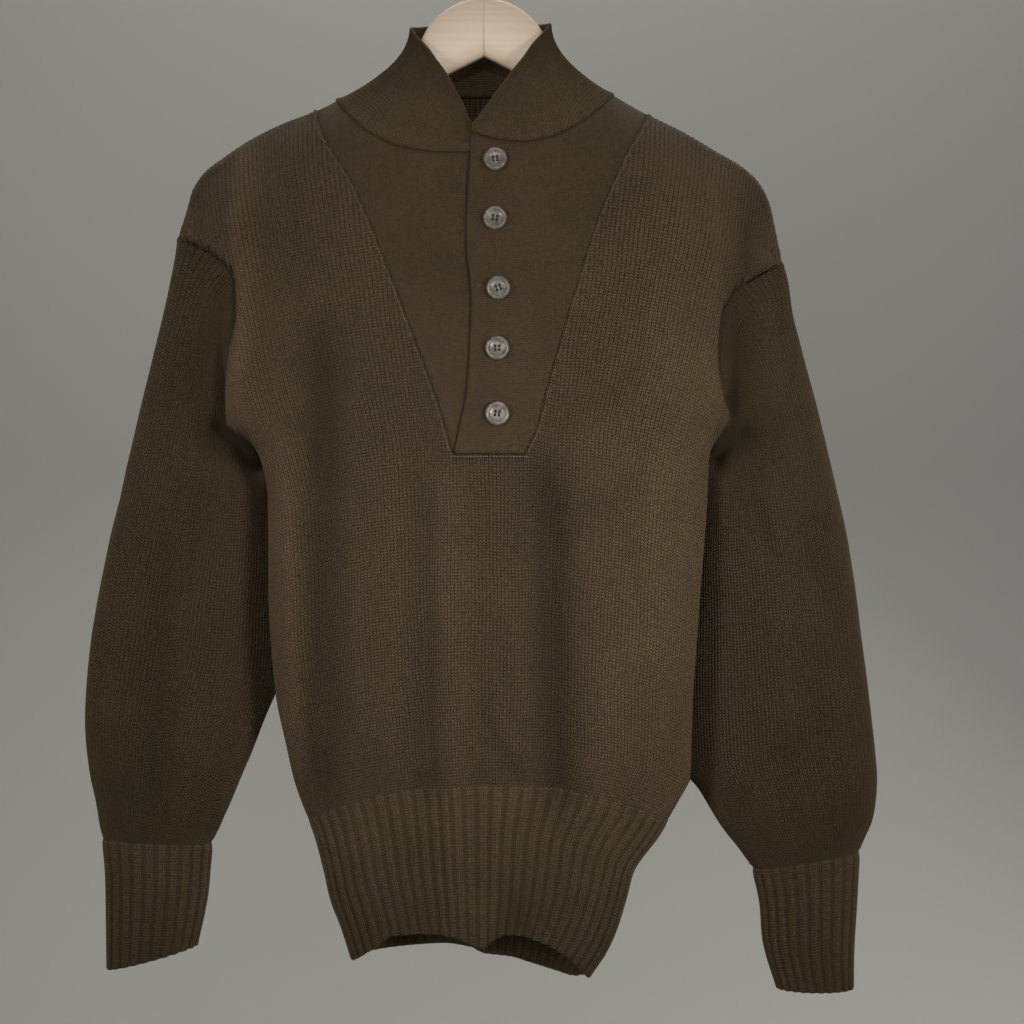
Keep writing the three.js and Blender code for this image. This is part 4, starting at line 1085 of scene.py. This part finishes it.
def ring_points(rings, angles):
    """Rings of a sleeve or cuff: outer edge, front, inner edge, back."""
    rings = np.asarray(rings, float)[:, :, None]
    t = (1 - np.cos(angles)) / 2
    bulge = np.where(np.sin(angles) > 0, rings[:, 6], rings[:, 7])
    x = lerp(rings[:, 0], rings[:, 2], t)
    z = lerp(rings[:, 1], rings[:, 3], t)
    y = lerp(rings[:, 4], rings[:, 5], t) - bulge * np.sin(angles)
    return np.stack([x, y, z], -1)


def through(points, at):
    """Catmull-Rom interpolation along the first axis of an array of points."""
    points = np.asarray(points, float)
    padded = [2 * points[:1] - points[1:2], points, 2 * points[-1:] - points[-2:-1]]
    padded = np.concatenate(padded)
    i = np.clip(at.astype(int), 0, len(points) - 2)
    t = (at - i).reshape(-1, *[1] * (points.ndim - 1))
    a, b, c, d = padded[i], padded[i + 1], padded[i + 2], padded[i + 3]
    bent = (c - a) * t + (2 * a - 5 * b + 4 * c - d) * t**2 + (3 * b - a - 3 * c + d) * t**3
    return b + 0.5 * bent


def closed_up(grid):
    """A tube's grid with its first column once more at the end."""
    return np.concatenate([grid, grid[:, :1]], 1)


def even_angles(ring, count):
    fine = np.linspace(0, 2 * pi, 1441)
    travelled = lengths_along(ring_points([ring], fine), 1)[0]
    return np.interp(np.arange(count) / count * travelled[-1], travelled, fine)


def sleeve(side):
    rings = RIGHT_SLEEVE if side == "right" else LEFT_SLEEVE
    tip, pit = (RIGHT_TIP, RIGHT_PIT) if side == "right" else (LEFT_TIP, LEFT_PIT)
    edge, sign = RIGHT_EDGE if side == "right" else LEFT_EDGE, SIGN[side]
    count = SLEEVE_WALES * SAMPLES_PER_WALE
    angles = even_angles(rings[7], count)
    share = (1 - np.cos(angles)) / 2
    seam_z = lerp(tip[1], pit[1], share)
    seam_x = sign * edge(seam_z)
    y = np.where(
        np.sin(angles) > 0, -body_depth(seam_x, seam_z, "front"), body_depth(seam_x, seam_z, "back"),
    )
    armhole = np.stack([seam_x, y, seam_z], -1)
    rows = ring_points(rings, angles)
    bend = (seam_x - lerp(tip[0], pit[0], share))[None, :]
    rows[..., 0] += bend * 0.62 ** (1 + np.arange(len(rows)))[:, None]
    control = np.concatenate([armhole[None], rows])
    at = np.linspace(0, 1, SLEEVE_ROWS + 1) ** 1.15 * (len(control) - 1)
    base = through(control, at)
    x, z = base[..., 0], base[..., 2]
    fade = smooth(at / 1.5)[:, None]
    front = np.maximum(np.sin(angles), 0)[None, :]
    back = np.maximum(-np.sin(angles), 0)[None, :]
    base[..., 1] += fold_rise(UNDERARM, x, z) * smooth(0.6 + 1.5 * np.sin(angles))
    rise = fold_rise(SLEEVE_FOLDS, x, z)
    base[..., 1] -= fade * front * rise
    base[..., 1] += fade * back * 0.7 * fold_rise(SLEEVE_FOLDS, x * 1.02 + 4, z + 26)
    normals = grid_normals(base, closed=True) * -sign
    u = np.arange(count + 1) / SAMPLES_PER_WALE
    travelled = lengths_along(base, 0)
    relief = WALE_RELIEF * wale_crest(u[:-1])[None, :] + 0.8 * unevenness(x * 1.3, z, 4.0) * fade
    ending = travelled[-1] - travelled
    relief *= smooth(ending / 14)
    relief += seam_ridge(travelled, 1.0, 0.5) + seam_ridge(ending, 0.7, 0.1)
    points = base + normals * relief[..., None]
    points[0] = base[0]
    v = closed_up(travelled) / COURSE
    # painted shade and highlight in the sleeve's folds, and painted shadow beside the armhole seam
    painted_shading = np.clip(FOLD_SHADE * rise * front, -0.3, 0.15) - 0.3 * near(travelled, SEAM_SHADOW)
    # painted shade under the arm
    painted_shading -= 0.02 * fold_rise(UNDERARM, x, z)
    piece = grid_object(
        f"sleeve_knit_shaded_{side}", points, u, v, sleeve_knit_shaded, painted_shading, closed=True, flip=side == "left",
    )
    stand_for(f"sleeve_{side}")
    declare_cloth(base, closed=True)


def cuff(side):
    rings = RIGHT_CUFF if side == "right" else LEFT_CUFF
    count = CUFF_RIBS * RIB_SAMPLES
    angles = even_angles(rings[2], count)
    control = ring_points(rings, angles)
    base = through(control, np.linspace(0, len(control) - 1, CUFF_ROWS + 1))
    base[..., 1] += 0.5 * unevenness(base[..., 0], base[..., 2], 1.0)
    normals = grid_normals(base, closed=True) * -SIGN[side]
    u = np.arange(count + 1) / RIB_SAMPLES
    travelled = lengths_along(base, 0)
    crest = (rib_profile(u[:-1] + 0.5) - 0.5)[None, :] * smooth(travelled / 8)
    outer = base + normals * (0.85 * RIB_RISE * crest + seam_ridge(travelled, 0.7, 0.1))[..., None]
    inner = base - normals * (KNIT - 0.8 - 0.7 * crest)[..., None]
    v = closed_up(travelled) / RIB_COURSE
    piece = wall_object(
        f"cuff_rib_{side}", outer, inner, u * WALES_A_RIB, v, rib_knit,
        closed=True, flip=side == "left", flat_top=True,
    )
    stand_for(f"cuff_{side}")
    declare_cloth(base, closed=True)


# Collar

def neck_seam(share):
    """Points of the neck seam at shares of the way along the collar's stations."""
    at = share * (len(COLLAR) - 1)
    k = np.clip(at.astype(int), 0, len(COLLAR) - 2)
    x = np.array([row[1] for row in COLLAR])
    x = lerp(x[k], x[k + 1], at - k)
    edges = np.array([row[0] for row in COLLAR])
    at_back = (edges[k] == "back") | (edges[k + 1] == "back")
    at_over = edges[k] == "over"
    back = body_points(x, NECKLINE_BACK(x), "back")
    over = body_points(x, NECKLINE_OVER(x), "front", placket_lift(x) - BIB_SINK)
    under = body_points(x, NECKLINE_UNDER(x), "front", UNDER_BIB_LIFT - BIB_SINK)
    return np.where(at_back[:, None], back, np.where(at_over[:, None], over, under))


def collar():
    fine = np.linspace(0, 1, 4001)
    line = neck_seam(fine)
    travelled = lengths_along(line[None], 1)[0]
    count = COLLAR_SAMPLES * round(travelled[-1] / COLLAR_RIB)
    share = np.interp(np.linspace(0, travelled[-1], count + 1), travelled, fine)
    seam = neck_seam(share)
    crown = through(np.array([row[2:] for row in COLLAR]), share * (len(COLLAR) - 1))
    rise = np.linspace(0, 1, COLLAR_ROWS + 1)[:, None]
    inward = (1 - (1 - rise) ** COLLAR_FLARE)[..., None]
    base = lerp(seam[None], crown[None], inward)
    base[..., 2] = lerp(seam[None, :, 2], crown[None, :, 2], rise)
    normals = grid_normals(base)
    outward = base - np.array([-5, 0, 0])
    outward[..., 2] = 30
    turn = np.sign((normals * outward).sum(-1, keepdims=True).mean())
    normals = normals * turn
    u = np.arange(count + 1) / COLLAR_SAMPLES
    travelled = lengths_along(base, 0)
    crest = wale_crest(u)[None, :] - 0.5
    wave = 0.8 * np.sin(share * 41)[None, :] * rise + 0.5 * np.sin(share * 97)[None, :] * rise**2
    base = base + normals * wave[..., None]
    outer = base + normals * (0.75 * crest + 1.2 * near(travelled, 5))[..., None]
    inner = base - normals * (FINE_KNIT - 0.5 * crest)[..., None]
    piece = wall_object(
        "collar_rib", outer[::-1], inner[::-1], u, travelled / COLLAR_COURSE, fine_knit, flip=turn < 0,
    )
    stand_for("collar")
    declare_cloth(base)


# Linking stitches along the bib's seams

def stitch_tree():
    """Geometry nodes that lay a row of slanted stitches along a line of edges."""
    tree = bpy.data.node_groups.new("linking stitches", "GeometryNodeTree")
    tree.interface.new_socket("Geometry", in_out="INPUT", socket_type="NodeSocketGeometry")
    for name, kind, value in (
        ("Step", "NodeSocketFloat", STITCH_STEP * MM),
        ("Stitch size", "NodeSocketVector", tuple(s * MM for s in STITCH_SIZE)),
        ("Slant", "NodeSocketVector", (0, 0, STITCH_SLANT)),
        ("Yarn", "NodeSocketMaterial", None),
    ):
        socket = tree.interface.new_socket(name, in_out="INPUT", socket_type=kind)
        if value is not None:
            socket.default_value = value
    tree.interface.new_socket("Geometry", in_out="OUTPUT", socket_type="NodeSocketGeometry")

    def add(kind, **inputs):
        node = tree.nodes.new(kind)
        for name, source in inputs.items():
            tree.links.new(source, node.inputs[name.replace("_", " ")])
        return node

    given = add("NodeGroupInput").outputs
    line = add("GeometryNodeMeshToCurve", Mesh=given["Geometry"])
    even = add("GeometryNodeResampleCurve", Curve=line.outputs["Curve"])
    even.mode = "LENGTH"
    tree.links.new(given["Step"], even.inputs["Length"])
    bead = add("GeometryNodeMeshIcoSphere")
    bead.inputs["Radius"].default_value = 0.5
    bead.inputs["Subdivisions"].default_value = 2
    stitch = add("GeometryNodeTransform", Geometry=bead.outputs["Mesh"], Scale=given["Stitch size"])
    slanted = add("GeometryNodeTransform", Geometry=stitch.outputs["Geometry"], Rotation=given["Slant"])
    tangent = add("GeometryNodeInputTangent")
    along = add("FunctionNodeAlignRotationToVector", Vector=tangent.outputs["Tangent"])
    along.axis = "X"
    row = add(
        "GeometryNodeInstanceOnPoints", Points=even.outputs["Curve"], Instance=slanted.outputs["Geometry"],
        Rotation=along.outputs["Rotation"],
    )
    real = add("GeometryNodeRealizeInstances", Geometry=row.outputs["Instances"])
    smoothed = add("GeometryNodeSetShadeSmooth", Geometry=real.outputs["Geometry"])
    finished = add(
        "GeometryNodeSetMaterial", Geometry=smoothed.outputs["Geometry"], Material=given["Yarn"],
    )
    add("NodeGroupOutput", Geometry=finished.outputs["Geometry"])
    return tree


def stitch_row(name, tree, points):
    path = bpy.data.meshes.new("seam line")
    edges = [(i, i + 1) for i in range(len(points) - 1)]
    path.from_pydata([tuple(p) for p in bowed(points) * MM], edges, [])
    line = add_object("seam line", path)
    nodes = line.modifiers.new("stitches", "NODES")
    nodes.node_group = tree
    yarn = next(s for s in tree.interface.items_tree if s.name == "Yarn")
    nodes[yarn.identifier] = seam_yarn
    mesh = bpy.data.meshes.new_from_object(line.evaluated_get(bpy.context.evaluated_depsgraph_get()))
    bpy.data.objects.remove(line)
    piece = add_object(name, mesh)
    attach(piece, "root")


def add_seam_stitches():
    tree = stitch_tree()
    z = np.linspace(STITCHES_START, BIB_BOTTOM + 2, 90)
    x = np.linspace(float(BIB_RIGHT(BIB_BOTTOM)) - 2, float(BIB_LEFT(BIB_BOTTOM)) + 2, 30)
    for name, row_x, row_z in (
        ("right", BIB_RIGHT(z) - STITCH_ASIDE, z),
        ("left", BIB_LEFT(z) + STITCH_ASIDE, z),
        ("foot", x, BIB_BOTTOM - STITCH_ASIDE),
    ):
        stitch_row(f"seam_stitches_{name}", tree, body_points(row_x, row_z, "front", STITCH_LIFT))


# Buttons

def lathe(profile, segments):
    """Points and faces of a profile of (radius, height) turned round +Z."""
    angles = np.arange(segments) * 2 * pi / segments
    points, rings = [], []
    for radius, height in profile:
        count = segments if radius else 1
        rings.append([len(points) + i % count for i in range(segments)])
        points += [(radius * cos(a), radius * sin(a), height) for a in angles[:count]]
    faces = []
    for lower, upper in zip(rings, rings[1:]):
        for i in range(segments):
            j = (i + 1) % segments
            faces.append(list(dict.fromkeys([lower[i], lower[j], upper[j], upper[i]])))
    return points, faces


def joined(parts):
    """The points and faces of several parts as those of one."""
    points, faces = [], []
    for part_points, part_faces in parts:
        faces += [[len(points) + i for i in face] for face in part_faces]
        points += list(part_points)
    return points, faces


def plain_mesh(name, points, faces):
    mesh = bpy.data.meshes.new(name)
    mesh.from_pydata([tuple(c * MM for c in p) for p in points], [], faces)
    mesh.update()
    return mesh


def button_mesh():
    r = BUTTON_DIAMETER / 2
    profile = [
        (0, 0), (r - 2.2, 0), (r - 0.8, 0.5), (r - 0.1, 1.5), (r, 2.2), (r - 0.35, 3.2),
        (r - 1.1, 3.9), (r - 1.9, 4.1), (r - 2.7, 3.8), (r - 3.3, 3.1), (r - 4.0, 2.75),
        (3.0, 2.6), (0, 2.55),
    ]
    button = add_object("button", plain_mesh("button", *lathe(profile, 56)))
    hole, faces = lathe([(0, -1), (0.95, -1), (0.95, 2.4), (1.25, 2.9), (1.25, 4), (0, 4)], 14)
    holes = []
    for quarter in range(4):
        angle = pi / 4 + quarter * pi / 2
        aside, along = HOLE_RING * cos(angle), HOLE_RING * sin(angle)
        holes.append(([(x + aside, y + along, z) for x, y, z in hole], faces))
    cutter = add_object("holes", plain_mesh("holes", *joined(holes)))
    cut = button.modifiers.new("holes", "BOOLEAN")
    cut.operation, cut.object, cut.solver = "DIFFERENCE", cutter, "EXACT"
    mesh = bpy.data.meshes.new_from_object(button.evaluated_get(bpy.context.evaluated_depsgraph_get()))
    for thing in (button, cutter):
        bpy.data.objects.remove(thing)
    return mesh


def tube(path, radius, sides):
    """Points and faces of a closed tube along a list of points."""
    path = [Vector(p) for p in path]
    points, side = [], None
    for i, p in enumerate(path):
        ahead = (path[min(i + 1, len(path) - 1)] - path[max(i - 1, 0)]).normalized()
        if side is None:
            side = ahead.orthogonal().normalized()
        side = (side - ahead * side.dot(ahead)).normalized()
        other = ahead.cross(side)
        for k in range(sides):
            a = 2 * pi * k / sides
            points.append(tuple(p + (side * cos(a) + other * sin(a)) * radius))
    faces = grid_faces(len(path), sides, closed=True)[0].tolist()
    faces.append(list(range(sides))[::-1])
    faces.append([(len(path) - 1) * sides + k for k in range(sides)])
    return points, faces


def button_threads():
    """Two stitches side by side, each an arch over the button from hole to hole."""
    strands = []
    for x in (-1.78, -1.22, 1.22, 1.78):
        path = [(x, lerp(-1.5, 1.5, t), 1.6 + 1.5 * sin(pi * t) ** 0.6) for t in np.linspace(0, 1, 9)]
        strands.append(tube(path, 0.26, 6))
    return plain_mesh("thread", *joined(strands))


def add_buttons():
    button, threads = button_mesh(), button_threads()
    for number, ((x, z), spin) in enumerate(zip(BUTTONS, BUTTON_TURNS), 1):
        xs = np.array([x, x + 6, x])
        seat, rightward, upward = bowed(body_points(xs, np.array([z, z, z + 6]), "front", placket_lift(xs)))
        normal = Vector(np.cross(rightward - seat, upward - seat)).normalized()
        turn = Vector((0, 0, 1)).rotation_difference(normal)
        for name, mesh, finish in (("shell", button, button_finish), ("thread", threads, thread_finish)):
            copy = mesh.copy()
            for vertex in copy.vertices:
                p = vertex.co / MM
                p = Vector((p.x * cos(spin) - p.y * sin(spin), p.x * sin(spin) + p.y * cos(spin), p.z))
                vertex.co = (Vector(seat) + normal * BUTTON_SEAT + turn @ p) * MM
            copy.materials.clear()
            copy.materials.append(finish)
            copy.shade_smooth()
            piece = add_object(f"button_{number}_{name}", copy)
            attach(piece, "root")
            if name == "shell":
                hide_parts(f"button_{number}")


# Hanger

def squared(value):
    return np.sign(value) * np.abs(value) ** 0.62


def hanger_arm(side):
    sign, reach = SIGN[side], ARM_REACH[side]
    stations = np.concatenate([
        np.linspace(0.15, 46, 22), HUMP_RADIUS - (HUMP_RADIUS - 46) * np.linspace(1, 0.02, 12)[1:] ** 2,
        np.linspace(55.5, 190, 40), reach - (reach - 190) * np.linspace(1, 0, 14)[1:] ** 1.6,
    ])
    corners = 40
    angles = np.arange(corners) * 2 * pi / corners
    rows = []
    for x in stations:
        clear = HANGER_CLEARANCE + 2.5 * near(x - 108, 30) + 4 * float(smooth((x - 150) / 60))
        hump = HUMP_TOP - HUMP_RADIUS + sqrt(max(HUMP_RADIUS**2 - x**2, 0))
        cloth = float(SHOULDER(sign * max(x, HUMP_RADIUS))) - clear
        top = max(hump, HUMP_FOOT) if x < HUMP_RADIUS else cloth
        bottom = ARM_UNDERSIDE - ARM_SLOPE * x
        end = min(max((x - reach + 7) / 7, 0), 1)
        taper = sqrt(max(1 - end**2, 0.03))
        half_height = (top - bottom) / 2 * taper
        half_depth = lerp(NECK_THICKNESS, TIP_THICKNESS, x / reach) / 2 * taper
        z = (top + bottom) / 2 + half_height * squared(np.sin(angles))
        rows.append(np.stack([np.full(corners, sign * x), half_depth * squared(np.cos(angles)), z], -1))
    faces = grid_faces(len(rows), corners, closed=True, flip=side == "left")[0].tolist()
    ring = list(range(corners))
    tip = [(len(rows) - 1) * corners + i for i in ring]
    faces += [ring, tip[::-1]] if side == "left" else [ring[::-1], tip]
    piece = mesh_object(f"hanger_wood_{side}", np.concatenate(rows), faces, wood_finish)
    piece.data.set_sharp_from_angle(angle=radians(50))
    stand_for(f"hanger_arm_{side}")


def hook():
    radius = HOOK_INNER_RADIUS + HOOK_WIRE / 2
    centre = -HOOK_INNER_RADIUS
    foot = HUMP_TOP + 0.4
    route = [(0, 0, foot + 1), (0, 0, foot + 7), (3, 0, centre - radius - 9)]
    for degrees in range(-58, 197, 14):
        a = radians(degrees)
        route.append((radius * cos(a), 0, centre + radius * sin(a)))
    path = through(np.array(route), np.linspace(0, len(route) - 1, 150))
    flange, flange_faces = lathe(FLANGE, 32)
    flange = [(x, y, z + foot) for x, y, z in flange]
    points, faces = joined([tube(path, HOOK_WIRE / 2, 20), (flange, flange_faces)])
    piece = mesh_object("hook_steel", np.array(points), faces, wire_finish)
    piece.data.set_sharp_from_angle(angle=radians(40))
    stand_for("hanger_hook")


# Stage

def plain_material(name, colour, roughness):
    n = Nodes(name)
    n.set(Base_Color=colour, Roughness=roughness)
    return n.material


def add_stage():
    """A pale floor that curves up into a backdrop."""
    floor_z, back_y, bend = -1.3, 2.8, 0.9
    profile = [(-3.5, floor_z), (back_y - bend, floor_z)]
    for k in range(1, 13):
        a = k / 12 * pi / 2
        profile.append((back_y - bend + bend * sin(a), floor_z + bend - bend * cos(a)))
    profile.append((back_y, 3.0))
    vertices = [(x, y, z) for y, z in profile for x in (-5, 5)]
    faces = [(2 * k, 2 * k + 1, 2 * k + 3, 2 * k + 2) for k in range(len(profile) - 1)]
    mesh = bpy.data.meshes.new("backdrop")
    mesh.from_pydata(vertices, [], faces)
    mesh.shade_smooth()
    mesh.materials.append(plain_material("backdrop", linear(156, 156, 150), 0.9))
    add_object("backdrop", mesh)


def add_lamp(kind, name, at, target, power, colour, **shape):
    light = bpy.data.lights.new(name, kind)
    light.energy, light.color = power, colour
    for key, value in shape.items():
        setattr(light, key, value)
    lamp = add_object(name, light)
    lamp.location = at
    lamp.rotation_euler = (Vector(target) - Vector(at)).to_track_quat("-Z", "Y").to_euler()


def add_lights():
    warm, white, middle = (1.0, 0.97, 0.93), (1.0, 1.0, 1.0), (0, 0, -0.5)
    for name, at, target, spread, softness, power in (
        ("key_left", (0.85, -1.25, -0.46), (0.08, 0, -0.53), 37, 0.26, 77),
        ("key_right", (-0.8, -1.25, -0.42), (-0.06, 0, -0.5), 35, 0.26, 57),
        ("neck", (0.0, -1.4, 0.05), (0, 0.03, -0.165), 9, 0.05, 16),
    ):
        add_lamp(
            "SPOT", name, at, target, power, warm,
            spot_size=radians(spread), spot_blend=1.0, shadow_soft_size=softness,
        )
    for name, at, target, size, power, colour in (
        ("front", (-0.1, -2.5, 0.0), middle, 0.5, 4, (0.97, 0.98, 1.0)),
        ("sweep", (0.0, 1.5, 2.0), (0, 2.8, -0.7), 1.8, 40, (1.0, 0.99, 0.97)),
        ("top", (0.2, 0.3, 1.6), middle, 1.4, 5, white),
        ("rim", (-2.2, 1.2, 0.4), middle, 1.0, 8, white),
        ("behind", (1.4, 1.9, 0.3), middle, 1.2, 20, (1.0, 0.98, 0.95)),
    ):
        add_lamp("AREA", name, at, target, power, colour, size=size)
    world = bpy.data.worlds.new("studio")
    bpy.context.scene.world = world
    world.use_nodes = True
    background = world.node_tree.nodes["Background"]
    background.inputs["Color"].default_value = (1, 0.99, 0.97, 1)
    background.inputs["Strength"].default_value = 0.27


def add_camera():
    camera = bpy.data.cameras.new("camera")
    camera.sensor_width = 36
    camera.lens = 36 * 2000 / 819.2
    holder = add_object("camera", camera)
    holder.location = (0.0224, -2.0, -0.4858)
    holder.rotation_euler = (pi / 2, 0, 0)
    bpy.context.scene.camera = holder


for face in ("front", "back"):
    body_panel(face)
    waistband(face)
bib_piece(
    "bib_under_knit", "bib_under", BIB_RIGHT, under_bib_edge, NECKLINE_UNDER, under_bib_lift, 50, False,
)
bib_piece("bib_over_knit", "bib_over", PLACKET_EDGE, BIB_LEFT, NECKLINE_OVER, placket_lift, 48, True)
for side in ("right", "left"):
    sleeve(side)
    cuff(side)
    hanger_arm(side)
collar()
add_seam_stitches()
add_buttons()
hook()
add_stage()
add_lights()
add_camera()
bpy.context.scene.view_settings.view_transform = "Standard"
